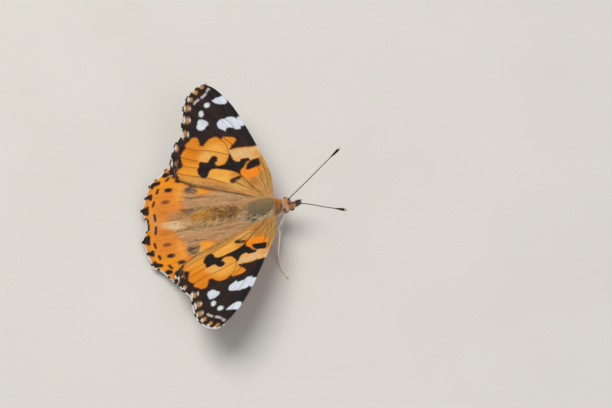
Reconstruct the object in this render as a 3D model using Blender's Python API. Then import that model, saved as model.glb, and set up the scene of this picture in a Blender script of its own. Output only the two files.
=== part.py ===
"""Painted lady butterfly, life size, at rest with its wings spread.

Frame: metres, +Z up, +X towards the head, +Y towards the butterfly's own left.
The origin is on the floor, under the middle of the whole outline.
Every body piece is first placed from the hinge point, which lies on the
midline between the forewing roots. Sizes below are millimetres.
"""
import math

import bmesh
import bpy
import numpy as np
from mathutils import Matrix, Vector, geometry

MM = 0.001

# General fits
GAP = 0.3                   # clearance between neighbouring pieces
FLOOR_Z = -7.2              # floor level, measured from the hinge point
SIDES = {"left": 1, "right": -1}

# Body stations: place along X, half width, half height, height of the centre
HEAD_STATIONS = [
    (1.5, 0.95, 0.90, 0.40),
    (1.8, 1.25, 1.20, 0.42),
    (2.5, 1.45, 1.38, 0.42),
    (3.2, 1.40, 1.32, 0.40),
    (3.8, 1.10, 1.05, 0.34),
    (4.2, 0.65, 0.62, 0.28),
]
THORAX_STATIONS = [
    (1.2, 0.95, 0.90, 0.20),
    (0.9, 1.55, 1.30, 0.10),
    (0.3, 2.30, 1.75, -0.15),
    (-0.8, 2.60, 2.05, -0.65),
    (-2.4, 2.75, 2.20, -1.20),
    (-4.0, 2.60, 2.10, -1.60),
    (-5.4, 2.15, 1.85, -1.95),
    (-6.4, 1.55, 1.50, -2.20),
    (-6.8, 1.15, 1.15, -2.30),
]
ABDOMEN_STATIONS = [
    (-7.1, 1.15, 1.15, -2.30),
    (-7.9, 1.55, 1.55, -2.50),
    (-10.0, 1.78, 1.85, -2.85),
    (-12.5, 1.78, 1.85, -3.15),
    (-15.0, 1.50, 1.55, -3.40),
    (-17.0, 1.05, 1.10, -3.60),
    (-18.2, 0.60, 0.65, -3.70),
    (-18.6, 0.28, 0.30, -3.72),
]
ABDOMEN_SEGMENTS = 8
SEGMENT_STEP = 0.035        # how much each abdomen ring swells over its joint
BODY_SIDES = 18
BODY_SQUARENESS = 2.5       # 2 is an ellipse, more is squarer
EYE_FLAT = 1.05             # half distance between the flats that carry the eyes
THORAX_FLAT = 2.25          # half distance between the flats that carry the wings

# Head pieces
EYE_CENTRE = (2.95, 0.50)   # along X and in height
EYE_RADIUS = 0.98
EYE_BULGE = 0.85
PALP_PATH = [(4.62, 0.58, -0.15), (5.1, 0.56, 0.15), (5.7, 0.50, 0.62), (6.3, 0.42, 1.0)]
PALP_RADII = [0.36, 0.40, 0.33, 0.16]
COIL_CENTRE = (4.1, 0.0, -1.72)
COIL_RADIUS = 0.8
COIL_HALF_WIDTH = 0.26
COIL_GROOVE = 0.07
ANTENNA_RADIUS = 0.25
CLUB_RADIUS = 0.45
ANTENNA_PATHS = {
    "left": [(3.75, 0.75, 1.95), (7.6, 3.1, 4.5), (11.5, 5.6, 7.1), (15.45, 8.1, 9.7)],
    "right": [(3.75, -0.75, 1.95), (7.5, -2.7, 4.6), (11.2, -5.2, 7.3), (15.6, -7.7, 9.7)],
}

# Legs: points along the leg from the thorax to the claws, and half thicknesses
HIP_RADIUS = 0.42
FEMUR_RADIUS = 0.36
KNEE_RADIUS = 0.30
SHIN_RADIUS = 0.26
TOE_RADIUS = 0.25
FOOT_Z = FLOOR_Z + 0.6 * TOE_RADIUS
MIDLEG_PATHS = {
    "left": [
        (-1.3, 1.35, -3.15), (-1.0, 4.7, -2.5), (-2.0, 8.2, -6.4), (-2.3, 10.4, -6.85),
        (-1.9, 12.6, FOOT_Z),
    ],
    "right": [
        (-1.0, -1.35, -3.1), (1.15, -5.1, -2.5), (0.55, -8.8, -6.5), (0.95, -11.6, -6.85),
        (2.3, -14.1, FOOT_Z),
    ],
}
HINDLEG_PATHS = {
    "left": [
        (-4.6, 1.2, -4.1), (-8.6, 4.9, -4.2), (-13.2, 7.6, -6.4), (-15.2, 8.6, -6.85),
        (-17.2, 9.3, FOOT_Z),
    ],
    "right": [
        (-4.6, -1.2, -4.1), (-8.6, -4.9, -4.3), (-13.2, -7.6, -6.4), (-15.2, -8.6, -6.85),
        (-17.2, -9.3, FOOT_Z),
    ],
}
FORELEG_PATHS = {
    "left": [(0.75, 0.75, -1.95), (2.2, 0.85, -2.15), (1.7, 1.9, -2.75), (0.6, 2.9, -3.3)],
    "right": [(0.75, -0.75, -1.95), (2.35, -0.85, -2.15), (1.65, -2.5, -2.7), (0.6, -4.0, -3.15)],
}
FORELEG_RADII = [0.30, 0.36, 0.34, 0.20]

# Wings: (span, chord) points of each flat wing, chord is negative towards the tail
WING_HINGE_Y = 2.57
MEMBRANE = 0.50             # thickness of the membrane
ROOT_THICKNESS = 1.00       # thickness where the wing meets the thorax
ROOT_FADE = 2.0             # length over which the root thins to the membrane
VEIN_HEIGHT = 0.16
VEIN_HALF_WIDTH = 0.28
OUTLINE_STEP = 1.5
VEIN_STEP = 2.4
FILL_STEP = 3.0

FOREWING = {
    "outline": [
        (0.0, 0.3), (3.0, 0.4), (6.0, 0.1), (12.0, -2.1), (18.0, -4.7), (22.0, -6.7),
        (25.0, -8.8), (27.0, -10.6), (28.2, -12.4), (28.4, -13.7), (27.6, -15.4),
        (26.1, -16.8), (24.2, -17.9), (21.5, -18.5), (19.0, -18.8), (17.4, -19.2),
        (15.0, -20.9), (12.2, -21.9), (9.8, -22.6), (8.4, -22.0), (7.0, -20.8),
        (5.5, -17.8), (4.5, -15.0), (2.9, -10.0), (1.2, -5.2), (0.0, -2.2),
    ],
    "veins": {
        "subcosta": [(0.6, -0.3), (5.0, -0.7), (9.5, -1.7), (13.0, -3.2)],
        "radius": [(0.6, -0.8), (6.0, -2.0), (11.0, -3.9), (17.3, -5.2)],
        "radial stem": [(11.0, -3.9), (14.0, -5.2), (18.5, -7.2), (23.5, -9.4), (27.3, -12.6)],
        "cubital stem": [(0.6, -1.5), (3.5, -4.4), (6.5, -6.8), (11.0, -8.6)],
        "cell end": [(13.6, -5.0), (12.4, -6.8), (11.0, -8.6)],
        "media 1": [(13.6, -5.0), (19.0, -9.4), (25.2, -16.4)],
        "media 2": [(12.4, -6.8), (17.5, -11.8), (23.1, -17.1)],
        "media 3": [(11.0, -8.6), (15.0, -12.8), (19.3, -17.8)],
        "cubitus 1": [(11.0, -8.6), (12.3, -12.5), (13.4, -16.0), (15.2, -19.8)],
        "cubitus 2": [(8.4, -7.6), (9.2, -12.0), (10.2, -16.0), (12.5, -20.9)],
        "anal": [(0.6, -2.0), (3.4, -7.5), (6.1, -13.8), (8.4, -20.9)],
    },
}
HINDWING = {
    "outline": [
        (0.0, -2.9), (2.8, -3.8), (6.5, -6.8), (10.0, -10.8), (12.6, -15.3), (13.6, -19.2),
        (13.0, -21.6), (11.2, -23.2), (9.4, -24.7), (8.4, -25.9), (7.9, -26.9), (6.1, -27.6),
        (4.2, -28.3), (2.7, -28.6), (1.4, -29.3), (0.3, -29.0), (-0.7, -28.3), (-2.2, -28.1),
        (-2.3, -25.0), (-2.3, -21.4), (-1.7, -18.9), (-0.9, -16.6), (-0.3, -13.0),
        (0.0, -9.0), (0.1, -5.4),
    ],
    "veins": {
        "subcosta": [(0.6, -3.6), (5.0, -7.2), (9.3, -12.0), (12.6, -18.8)],
        "radial stem": [(0.6, -4.2), (3.5, -7.4), (5.4, -10.4)],
        "radial sector": [(3.5, -7.4), (8.4, -13.6), (12.0, -21.0)],
        "media 1": [(5.4, -10.4), (8.0, -16.0), (10.6, -22.9)],
        "media 2": [(5.4, -10.4), (6.3, -17.0), (8.2, -24.9)],
        "media 3": [(3.0, -13.2), (4.8, -19.8), (6.9, -26.6)],
        "cubital stem": [(0.6, -4.8), (1.6, -9.0), (3.0, -13.2)],
        "cubitus 1": [(3.0, -13.2), (3.6, -20.0), (4.2, -27.5)],
        "cubitus 2": [(1.6, -9.0), (1.6, -18.0), (1.4, -28.3)],
        "anal": [(0.6, -5.2), (0.4, -12.0), (-0.3, -20.0), (-0.8, -27.4)],
    },
}
# Pose of each wing: height of its hinge, camber, and turns in degrees
FORE_HEIGHT = 0.22
HIND_HEIGHT = -0.75
FORE_CAMBER = 0.25
HIND_CAMBER = 0.0
FORE_POSE = {
    "left": {"dihedral": 16.0, "pitch": -13.7, "sweep": 1.9},
    "right": {"dihedral": 17.2, "pitch": -16.1, "sweep": 0.9},
}
HIND_POSE = {
    "left": {"dihedral": 1.8, "pitch": -9.2, "sweep": -0.2},
    "right": {"dihedral": 0.4, "pitch": -10.4, "sweep": 0.8},
}

COLOURS = {
    "orange scales": ((0.75, 0.24, 0.02), 0.75),
    "thorax fur": ((0.20, 0.16, 0.08), 0.9),
    "abdomen fur": ((0.36, 0.18, 0.05), 0.9),
    "head fur": ((0.34, 0.14, 0.05), 0.9),
    "eye": ((0.05, 0.035, 0.025), 0.25),
    "feeler": ((0.04, 0.035, 0.03), 0.6),
    "leg scales": ((0.55, 0.42, 0.26), 0.7),
}


def clear_scene():
    for old in list(bpy.data.objects):
        bpy.data.objects.remove(old, do_unlink=True)


def material(name):
    colour, roughness = COLOURS[name]
    made = bpy.data.materials.get(name) or bpy.data.materials.new(name)
    made.use_nodes = True
    shader = made.node_tree.nodes["Principled BSDF"]
    shader.inputs["Base Color"].default_value = (*colour, 1.0)
    shader.inputs["Roughness"].default_value = roughness
    shader.inputs["Metallic"].default_value = 0.0
    return made


def finish(name, mesh_builder, finish_name, hinge, smooth_angle=35.0):
    """Turn a millimetre bmesh into a named object carried by the hinge empty."""
    bmesh.ops.scale(mesh_builder, vec=(MM, MM, MM), verts=mesh_builder.verts)
    bmesh.ops.recalc_face_normals(mesh_builder, faces=mesh_builder.faces)
    mesh = bpy.data.meshes.new(name)
    mesh_builder.to_mesh(mesh)
    mesh_builder.free()
    mesh.shade_smooth()
    mesh.set_sharp_from_angle(angle=math.radians(smooth_angle))
    piece = bpy.data.objects.new(name, mesh)
    piece.data.materials.append(material(finish_name))
    piece.parent = hinge
    bpy.context.scene.collection.objects.link(piece)
    return piece


def skin_rings(mesh_builder, rings):
    """Join successive rings of points with faces and close both ends."""
    loops = []
    for ring in rings:
        loops.append([mesh_builder.verts.new(point) for point in ring])
    count = len(loops[0])
    for before, after in zip(loops, loops[1:]):
        for i in range(count):
            j = (i + 1) % count
            mesh_builder.faces.new((before[i], before[j], after[j], after[i]))
    mesh_builder.faces.new(list(reversed(loops[0])))
    mesh_builder.faces.new(loops[-1])


def catmull(points, step, closed=False):
    """Points on a smooth curve through the given ones, about one step apart."""
    given = [np.array(p, float) for p in points]
    spans = len(given) if closed else len(given) - 1
    curve = []
    for i in range(spans):
        b = given[i]
        c = given[(i + 1) % len(given)]
        a = given[i - 1] if closed or i > 0 else 2 * b - c
        last = i + 2 >= len(given)
        d = 2 * c - b if last and not closed else given[(i + 2) % len(given)]
        parts = max(1, round(float(np.linalg.norm(c - b)) / step))
        for k in range(parts):
            t = k / parts
            curve.append(0.5 * (2 * b + (c - a) * t + (2 * a - 5 * b + 4 * c - d) * t ** 2
                                + (3 * b - a - 3 * c + d) * t ** 3))
    if not closed:
        curve.append(given[-1])
    return curve


def body_ring(x, half_width, half_height, centre_z, flat):
    """Squarish oval ring across the body, cut flat on both flanks."""
    ring = []
    power = 2.0 / BODY_SQUARENESS
    for i in range(BODY_SIDES):
        turn = 2 * math.pi * (i + 0.5) / BODY_SIDES
        c = math.cos(turn)
        s = math.sin(turn)
        y = half_width * math.copysign(abs(c) ** power, c)
        z = centre_z + half_height * math.copysign(abs(s) ** power, s)
        ring.append((x, max(-flat, min(flat, y)), z))
    return ring


def body(name, stations, finish_name, hinge, flat=99.0):
    build = bmesh.new()
    skin_rings(build, [body_ring(*station, flat) for station in stations])
    return finish(name, build, finish_name, hinge)


def segmented_stations(stations, count):
    """Stations of the abdomen with a small swelling for each of its rings."""
    places = [-station[0] for station in stations]
    columns = [[station[k] for station in stations] for k in (1, 2, 3)]
    length = places[-1] - places[0]
    result = [stations[0]]
    for k in range(count):
        for along, swell in ((0.12, 0.0), (0.45, 1.0), (0.92, 1.0)):
            place = places[0] + length * (k + along) / count
            half_width, half_height, centre_z = (np.interp(place, places, c) for c in columns)
            grow = 1.0 + SEGMENT_STEP * swell
            result.append((-place, half_width * grow, half_height * grow, centre_z))
    result.append(stations[-1])
    return result


def limb(name, path, radii, finish_name, hinge, sides=8, floor=None):
    """Round tapered limb along a path of points, cut flat where it meets the floor."""
    build = bmesh.new()
    points = [Vector(p) for p in path]
    rings = []
    across = None
    for i, (point, radius) in enumerate(zip(points, radii)):
        before = points[max(i - 1, 0)]
        after = points[min(i + 1, len(points) - 1)]
        along = (after - before).normalized()
        if across is None:
            across = along.orthogonal().normalized()
        across = (across - along * across.dot(along)).normalized()
        other = along.cross(across)
        ring = []
        for k in range(sides):
            turn = 2 * math.pi * k / sides
            spot = point + radius * (math.cos(turn) * across + math.sin(turn) * other)
            if floor is not None:
                spot.z = max(spot.z, floor)
            ring.append(spot)
        rings.append(ring)
    skin_rings(build, rings)
    return finish(name, build, finish_name, hinge)


def leg_points(path):
    """Leg path and radii with a few more points, so that the joints stay crisp."""
    hip, knee, ankle, toe_root, claw = (Vector(p) for p in path)
    points = [
        hip, hip.lerp(knee, 0.35), hip.lerp(knee, 0.92), knee.lerp(ankle, 0.06),
        knee.lerp(ankle, 0.5), ankle, toe_root, toe_root.lerp(claw, 0.55), claw,
    ]
    radii = [
        HIP_RADIUS, FEMUR_RADIUS, KNEE_RADIUS, KNEE_RADIUS,
        SHIN_RADIUS, SHIN_RADIUS, TOE_RADIUS, TOE_RADIUS, TOE_RADIUS,
    ]
    return points, radii


def eye(name, side, hinge):
    """Dome with a flat back, set against the flat on the side of the head."""
    build = bmesh.new()
    rings = []
    for latitude in (0.0, 16.0, 34.0, 52.0, 68.0, 82.0):
        angle = math.radians(latitude)
        y = side * (EYE_FLAT + GAP + EYE_BULGE * math.sin(angle))
        ring = []
        for k in range(16):
            turn = 2 * math.pi * k / 16
            ring.append((
                EYE_CENTRE[0] + EYE_RADIUS * math.cos(angle) * math.cos(turn),
                y,
                EYE_CENTRE[1] + EYE_RADIUS * math.cos(angle) * math.sin(turn),
            ))
        rings.append(ring)
    skin_rings(build, rings)
    return finish(name, build, "eye", hinge, smooth_angle=50.0)


def coil(name, hinge):
    """Rolled tongue as a turned disc with a groove on each side for its turns."""
    profile = [(COIL_RADIUS, -0.5), (COIL_RADIUS, 0.5)]
    for share, depth in ((0.72, 0.0), (0.62, 1.0), (0.52, 0.0), (0.32, 0.0), (0.2, 1.0)):
        profile.append((COIL_RADIUS * share, 1.0 - depth * COIL_GROOVE / COIL_HALF_WIDTH))
    profile = [(r, -w) for r, w in reversed(profile[2:])] + profile
    build = bmesh.new()
    rings = []
    for k in range(20):
        turn = 2 * math.pi * k / 20
        rings.append([
            build.verts.new((
                COIL_CENTRE[0] + r * math.cos(turn),
                COIL_CENTRE[1] + w * COIL_HALF_WIDTH,
                COIL_CENTRE[2] + r * math.sin(turn),
            ))
            for r, w in profile
        ])
    for k, ring in enumerate(rings):
        after = rings[(k + 1) % len(rings)]
        for i in range(len(profile) - 1):
            build.faces.new((ring[i], ring[i + 1], after[i + 1], after[i]))
    build.faces.new([ring[0] for ring in rings])
    build.faces.new([ring[-1] for ring in reversed(rings)])
    return finish(name, build, "feeler", hinge)


def feeler(name, side_name, hinge):
    """Antenna: a thin stem that ends in a spindle-shaped club."""
    path = catmull(ANTENNA_PATHS[side_name], 2.6)
    stem = path[:-1]
    end = path[-1]
    root = end + (stem[-1] - end) * 0.9
    points = stem[:-1] + [root, root + (end - root) * 0.35, root + (end - root) * 0.75, end]
    radii = [ANTENNA_RADIUS] * (len(stem) - 1) + [ANTENNA_RADIUS, CLUB_RADIUS, CLUB_RADIUS, 0.2]
    return limb(name, points, radii, "feeler", hinge, sides=6)


def distance_to_line(point, line):
    """Shortest distance in the plane from a point to a run of points."""
    best = 1e9
    for a, b in zip(line, line[1:]):
        span = b - a
        t = np.clip(np.dot(point - a, span) / np.dot(span, span), 0.0, 1.0)
        best = min(best, float(np.linalg.norm(point - a - t * span)))
    return best


def beside(line, offset):
    """Copy of a run of points, moved sideways."""
    moved = []
    for i, point in enumerate(line):
        along = line[min(i + 1, len(line) - 1)] - line[max(i - 1, 0)]
        along = along / np.linalg.norm(along)
        moved.append(point + offset * np.array([-along[1], along[0]]))
    return moved


def inside(point, loop, margin):
    """True where a point lies in a closed loop, further in than the margin."""
    hit = False
    for a, b in zip(loop, loop[1:] + loop[:1]):
        if (a[1] > point[1]) != (b[1] > point[1]):
            if point[0] < a[0] + (point[1] - a[1]) * (b[0] - a[0]) / (b[1] - a[1]):
                hit = not hit
    return hit and distance_to_line(point, loop + loop[:1]) > margin


def flat_wing(shape):
    """Triangles of the flat wing, with edges along the outline and every vein."""
    outline = catmull(shape["outline"], OUTLINE_STEP, closed=True)
    veins = [catmull(points, VEIN_STEP) for points in shape["veins"].values()]
    spots = list(outline)
    edges = []
    for vein in veins:
        for offset in (0.0, VEIN_HALF_WIDTH, -VEIN_HALF_WIDTH):
            first = len(spots)
            line = vein if offset == 0.0 else beside(vein, offset)
            spots.extend(line)
            edges.extend((first + i, first + i + 1) for i in range(len(line) - 1))
    low = np.min(outline, axis=0)
    high = np.max(outline, axis=0)
    for row, b in enumerate(np.arange(low[1] + 1.0, high[1], FILL_STEP * 0.87)):
        for a in np.arange(low[0] + (row % 2) * FILL_STEP / 2, high[0], FILL_STEP):
            spot = np.array([a, b])
            clear_of_veins = min(distance_to_line(spot, vein) for vein in veins)
            if clear_of_veins > 0.8 and inside(spot, outline, 0.8):
                spots.append(spot)
    face = [list(range(len(outline)))]
    plane, _, triangles, *_ = geometry.delaunay_2d_cdt(
        [Vector(spot) for spot in spots], edges, face, 1, 0.02)
    return [np.array(spot) for spot in plane], triangles, veins


def camber_at(a, b, camber):
    return camber * (1 - ((a - 13) / 15) ** 2 - ((b + 9.5) / 11) ** 2)


def wing(name, shape, pose, height, camber, side, hinge):
    """Wing of even thickness whose veins stand up as ridges on both faces."""
    plane, triangles, veins = flat_wing(shape)
    turn = (
        Matrix.Rotation(math.radians(pose["dihedral"]), 3, "X")
        @ Matrix.Rotation(math.radians(pose["pitch"]), 3, "Y")
        @ Matrix.Rotation(math.radians(pose["sweep"]), 3, "Z")
    )
    build = bmesh.new()
    faces = {1: [], -1: []}
    for spot in plane:
        a, b = spot
        nearest = min(distance_to_line(spot, vein) for vein in veins)
        ridge = VEIN_HEIGHT * max(0.0, 1.0 - nearest / VEIN_HALF_WIDTH)
        root = max(0.0, 1.0 - max(a, 0.0) / ROOT_FADE)
        half = 0.5 * (MEMBRANE + (ROOT_THICKNESS - MEMBRANE) * root)
        for face in faces:
            offset = face * (half + ridge * (1.0 if face > 0 else 0.6))
            place = turn @ Vector((b, a, camber_at(a, b, camber) + offset))
            y = place.y + WING_HINGE_Y
            # The root is cut parallel to the thorax flat, the tail edge at the midline
            limit = THORAX_FLAT + GAP if place.x > THORAX_STATIONS[6][0] else 0.55 * GAP
            y = max(y, limit)
            faces[face].append(build.verts.new((place.x, side * y, place.z + height)))
    for i, j, k in triangles:
        build.faces.new((faces[1][i], faces[1][j], faces[1][k]))
        build.faces.new((faces[-1][k], faces[-1][j], faces[-1][i]))
    uses = {}
    for triangle in triangles:
        for i, j in zip(triangle, triangle[1:] + triangle[:1]):
            uses[(i, j)] = True
    for i, j in uses:
        if (j, i) not in uses:
            build.faces.new((faces[1][j], faces[1][i], faces[-1][i]))
            build.faces.new((faces[1][j], faces[-1][i], faces[-1][j]))
    return finish(name, build, "orange scales", hinge, smooth_angle=30.0)


def stand_on_floor(hinge, pieces):
    """Move the hinge so that the origin is on the floor under the middle of the outline."""
    bpy.context.view_layer.update()
    corners = [piece.matrix_world @ Vector(c) for piece in pieces for c in piece.bound_box]
    low = [min(c[k] for c in corners) for k in range(3)]
    high = [max(c[k] for c in corners) for k in range(3)]
    hinge.location = (-(low[0] + high[0]) / 2, -(low[1] + high[1]) / 2, -low[2])


def build_butterfly():
    clear_scene()
    hinge = bpy.data.objects.new("hinge_point", None)
    bpy.context.scene.collection.objects.link(hinge)
    pieces = [
        body("head", HEAD_STATIONS, "head fur", hinge, EYE_FLAT),
        body("thorax", THORAX_STATIONS, "thorax fur", hinge, THORAX_FLAT),
        body("abdomen", segmented_stations(ABDOMEN_STATIONS, ABDOMEN_SEGMENTS),
             "abdomen fur", hinge),
        coil("proboscis", hinge),
    ]
    for side_name, side in SIDES.items():
        pieces.append(eye(f"eye_{side_name}", side, hinge))
        palp_path = [(x, side * y, z) for x, y, z in PALP_PATH]
        pieces.append(limb(f"palp_{side_name}", palp_path, PALP_RADII, "head fur", hinge))
        pieces.append(feeler(f"antenna_{side_name}", side_name, hinge))
        pieces.append(limb(f"foreleg_{side_name}", FORELEG_PATHS[side_name], FORELEG_RADII,
                           "leg scales", hinge))
        for leg_name, paths in (("midleg", MIDLEG_PATHS), ("hindleg", HINDLEG_PATHS)):
            points, radii = leg_points(paths[side_name])
            pieces.append(limb(f"{leg_name}_{side_name}", points, radii, "leg scales", hinge,
                               floor=FLOOR_Z))
        pieces.append(wing(f"forewing_{side_name}", FOREWING, FORE_POSE[side_name],
                           FORE_HEIGHT, FORE_CAMBER, side, hinge))
        pieces.append(wing(f"hindwing_{side_name}", HINDWING, HIND_POSE[side_name],
                           HIND_HEIGHT, HIND_CAMBER, side, hinge))
    stand_on_floor(hinge, pieces)


build_butterfly()
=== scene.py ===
# %% [markdown]
# A painted lady butterfly, life size, resting with its wings spread almost flat.
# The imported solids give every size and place. This lesson dresses them: scaled
# wings, one furry body, feelers, legs, a pale floor, soft light and the camera.

# %% Load the frame
import math

import bmesh
import bpy
import numpy as np
from mathutils import Matrix, Vector, noise


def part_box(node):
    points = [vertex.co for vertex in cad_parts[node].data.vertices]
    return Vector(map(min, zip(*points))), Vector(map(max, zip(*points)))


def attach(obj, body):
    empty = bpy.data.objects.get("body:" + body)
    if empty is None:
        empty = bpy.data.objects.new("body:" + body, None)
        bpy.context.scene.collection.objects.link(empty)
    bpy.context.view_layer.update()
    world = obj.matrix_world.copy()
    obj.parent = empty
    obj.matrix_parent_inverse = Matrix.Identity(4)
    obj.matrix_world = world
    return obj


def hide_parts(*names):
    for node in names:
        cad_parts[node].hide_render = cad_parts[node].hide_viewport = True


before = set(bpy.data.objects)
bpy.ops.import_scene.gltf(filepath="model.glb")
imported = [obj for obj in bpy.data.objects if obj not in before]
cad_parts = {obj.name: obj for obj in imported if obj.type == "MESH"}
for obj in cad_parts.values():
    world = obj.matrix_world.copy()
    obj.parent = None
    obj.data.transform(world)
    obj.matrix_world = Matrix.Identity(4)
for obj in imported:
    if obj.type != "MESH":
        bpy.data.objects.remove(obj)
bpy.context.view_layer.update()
MM = 0.001
LEFT = 1
RIGHT = -1

# %% [markdown]
# Every part of the real insect hangs on the thorax. Each piece could be placed by
# its own solid's box, but then a change to one would tear it from the next. So the
# whole lesson measures from one point, the hinge point between the forewing roots,
# found from the thorax solid. Lengths are in millimetres as (forward, left, up).

# %% The hinge point
THORAX_FRONT = 1.2      # the thorax starts this far in front of the hinge point
HINGE_HEIGHT = 7.2      # the hinge point stands this high over the floor
thorax_low, thorax_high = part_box("thorax")
HINGE = Vector((
    thorax_high.x - THORAX_FRONT * MM,
    (thorax_low.y + thorax_high.y) / 2,
    HINGE_HEIGHT * MM,
))


def in_frame(places):
    """Places in the frame, in metres, of places in millimetres from the hinge point."""
    return np.array(HINGE) + places * MM


print("hinge point", [round(v / MM, 2) for v in HINGE], "mm")

# %% [markdown]
# The camera stands where the real one stood: over the butterfly's right side, looking
# down at 59.5 degrees, through a 100 mm lens from 372 mm away. It could be aimed with
# a Track To constraint, but the hinge point isn't in the middle of the picture. A
# camera looks along its own -Z, so its matrix is built from three directions instead.

# %% Camera
AZIMUTH = math.radians(-4.3)
ELEVATION = math.radians(59.5)
DISTANCE = 372.0
LENS = 100.0
SENSOR = 36.0
FRAME_SIZE = (612, 408)
HINGE_PIXEL = (272.5, 206.8)    # where the hinge point shows in the photograph

back = Vector((
    math.sin(AZIMUTH) * math.cos(ELEVATION),
    -math.cos(AZIMUTH) * math.cos(ELEVATION),
    math.sin(ELEVATION),
))
right = Vector((math.cos(AZIMUTH), math.sin(AZIMUTH), 0.0))
up = back.cross(right)
mm_per_pixel = DISTANCE * SENSOR / LENS / FRAME_SIZE[0]
aside = (HINGE_PIXEL[0] - FRAME_SIZE[0] / 2) * mm_per_pixel
above = (FRAME_SIZE[1] / 2 - HINGE_PIXEL[1]) * mm_per_pixel

camera_data = bpy.data.cameras.new("camera")
camera_data.lens = LENS
camera_data.sensor_width = SENSOR
camera_data.clip_start = 0.01
camera_data.clip_end = 10.0
camera = bpy.data.objects.new("camera", camera_data)
turn = Matrix((right, up, back)).transposed().to_4x4()
camera.matrix_world = Matrix.Translation(
    HINGE + (DISTANCE * back - aside * right - above * up) * MM) @ turn
bpy.context.scene.collection.objects.link(camera)
bpy.context.scene.camera = camera
bpy.context.scene.view_settings.view_transform = "Standard"
print("camera is", round((camera.matrix_world.translation - HINGE).length / MM), "mm away")

# %% [markdown]
# Colours are written as the eye reads them on a screen, in hex. Shaders count in
# linear light, so one function turns them over. Another adds a shader node with
# its settings and its links, which keeps each finish short enough to read. All of
# the insect is chitin, whose IOR of 1.56 is close to the shader's own 1.5, so the
# finishes differ in roughness, sheen and how much of the reflection scales break up.

# %% Colour and shader helpers
def linear(hex_colour):
    """Linear red, green and blue of an sRGB hex colour."""
    parts = [int(hex_colour[i:i + 2], 16) / 255 for i in (1, 3, 5)]
    return np.array([c / 12.92 if c <= 0.04045 else ((c + 0.055) / 1.055) ** 2.4 for c in parts])


def add(tree, kind, inputs=None, **settings):
    """Add one shader node. A socket given as an input is linked, any other value is set."""
    made = tree.nodes.new(kind)
    for key, value in settings.items():
        setattr(made, key, value)
    for key, value in (inputs or {}).items():
        if isinstance(value, bpy.types.NodeSocket):
            tree.links.new(value, made.inputs[key])
        else:
            made.inputs[key].default_value = value
    return made


def new_finish(name, roughness, sheen=0.0, specular=0.5):
    """Empty Principled finish, with the numbers that are the same all over it."""
    made = bpy.data.materials.new(name)
    made.use_nodes = True
    shader = made.node_tree.nodes["Principled BSDF"]
    shader.inputs["Roughness"].default_value = roughness
    shader.inputs["Specular IOR Level"].default_value = specular
    shader.inputs["Sheen Weight"].default_value = sheen
    shader.inputs["Sheen Roughness"].default_value = 0.5
    return made, made.node_tree, shader


print("black scales, #201512, are", linear("#201512").round(4), "in linear light")

# %% [markdown]
# The floor is a big sheet of pale paper, there to catch the shadow that tells how
# high the wings stand. A plane would do; a grid of four faces is as cheap and is the
# way that every wing and skin below starts.

# %% Floor
FLOOR_HALF = 1.5          # metres from the middle of the sheet to its edge
PAPER_FLECK = 1 / 90      # metres from one faint fleck of the paper to the next


def shown(name, data):
    """Object that shows a mesh or a lamp."""
    piece = bpy.data.objects.new(name, data)
    bpy.context.scene.collection.objects.link(piece)
    return piece


floor_build = bmesh.new()
bmesh.ops.create_grid(floor_build, x_segments=2, y_segments=2, size=FLOOR_HALF)
floor_mesh = bpy.data.meshes.new("floor")
floor_build.to_mesh(floor_mesh)
floor_build.free()
# Pressed pulp has no gloss, only a slight unevenness of tone
floor_finish, floor_tree, floor_shader = new_finish("matt pale paper", 0.9, specular=0.2)
grain = add(floor_tree, "ShaderNodeTexNoise", {"Scale": 1 / PAPER_FLECK, "Detail": 4.0})
tint = add(floor_tree, "ShaderNodeValToRGB", {"Fac": grain.outputs["Fac"]})
tint.color_ramp.elements[0].color = (*linear("#D9D6D0"), 1.0)
tint.color_ramp.elements[1].color = (*linear("#E2DFDA"), 1.0)
floor_tree.links.new(tint.outputs["Color"], floor_shader.inputs["Base Color"])
floor_mesh.materials.append(floor_finish)
shown("floor", floor_mesh)
print("floor is", 2 * FLOOR_HALF, "m across")

# %% [markdown]
# The butterfly was lit by an open, bright sky, a little from the left of the picture.
# A sun lamp would cut hard shadows. One big soft lamp gives the soft-edged ones that
# are seen, and a weak lamp and an even white room keep the black scales readable.

# %% Lights
ROOM_LIGHT = 0.27         # strength of the even light from all round


def soft_lamp(name, place, size, power, colour):
    """Square lamp that faces the hinge point. Metres and watts."""
    lamp = bpy.data.lights.new(name, "AREA")
    lamp.size = size
    lamp.energy = power
    lamp.color = linear(colour)
    body = shown(name, lamp)
    body.location = place
    body.rotation_euler = (Vector(place) - HINGE).to_track_quat("Z", "Y").to_euler()
    print(name, "gives", power, "W")


soft_lamp("sky lamp", (-0.22, 0.18, 0.78), size=0.55, power=5.1, colour="#FFFDF8")
soft_lamp("fill lamp", (0.45, -0.55, 0.55), size=0.6, power=1.7, colour="#F4F7FF")
world = bpy.data.worlds.new("studio")
world.use_nodes = True
room = world.node_tree.nodes["Background"]
room.inputs["Color"].default_value = (1.0, 1.0, 1.0, 1.0)
room.inputs["Strength"].default_value = ROOM_LIGHT
bpy.context.scene.world = world

# %% [markdown]
# A butterfly's wing is two skins a few hundredths of a millimetre apart, stiffened
# by hollow veins that fan out from its root. Its outline could be filled with one
# flat face and cut up, but a fan is easier to paint as a grid whose four sides are
# bent onto the wing's edges: the leading edge, the outer margin, the inner margin and
# the root. Points on a wing are (span, chord) in millimetres from its hinge, chord
# minus towards the tail. The solids have the same outline, so both fit each other.

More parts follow.
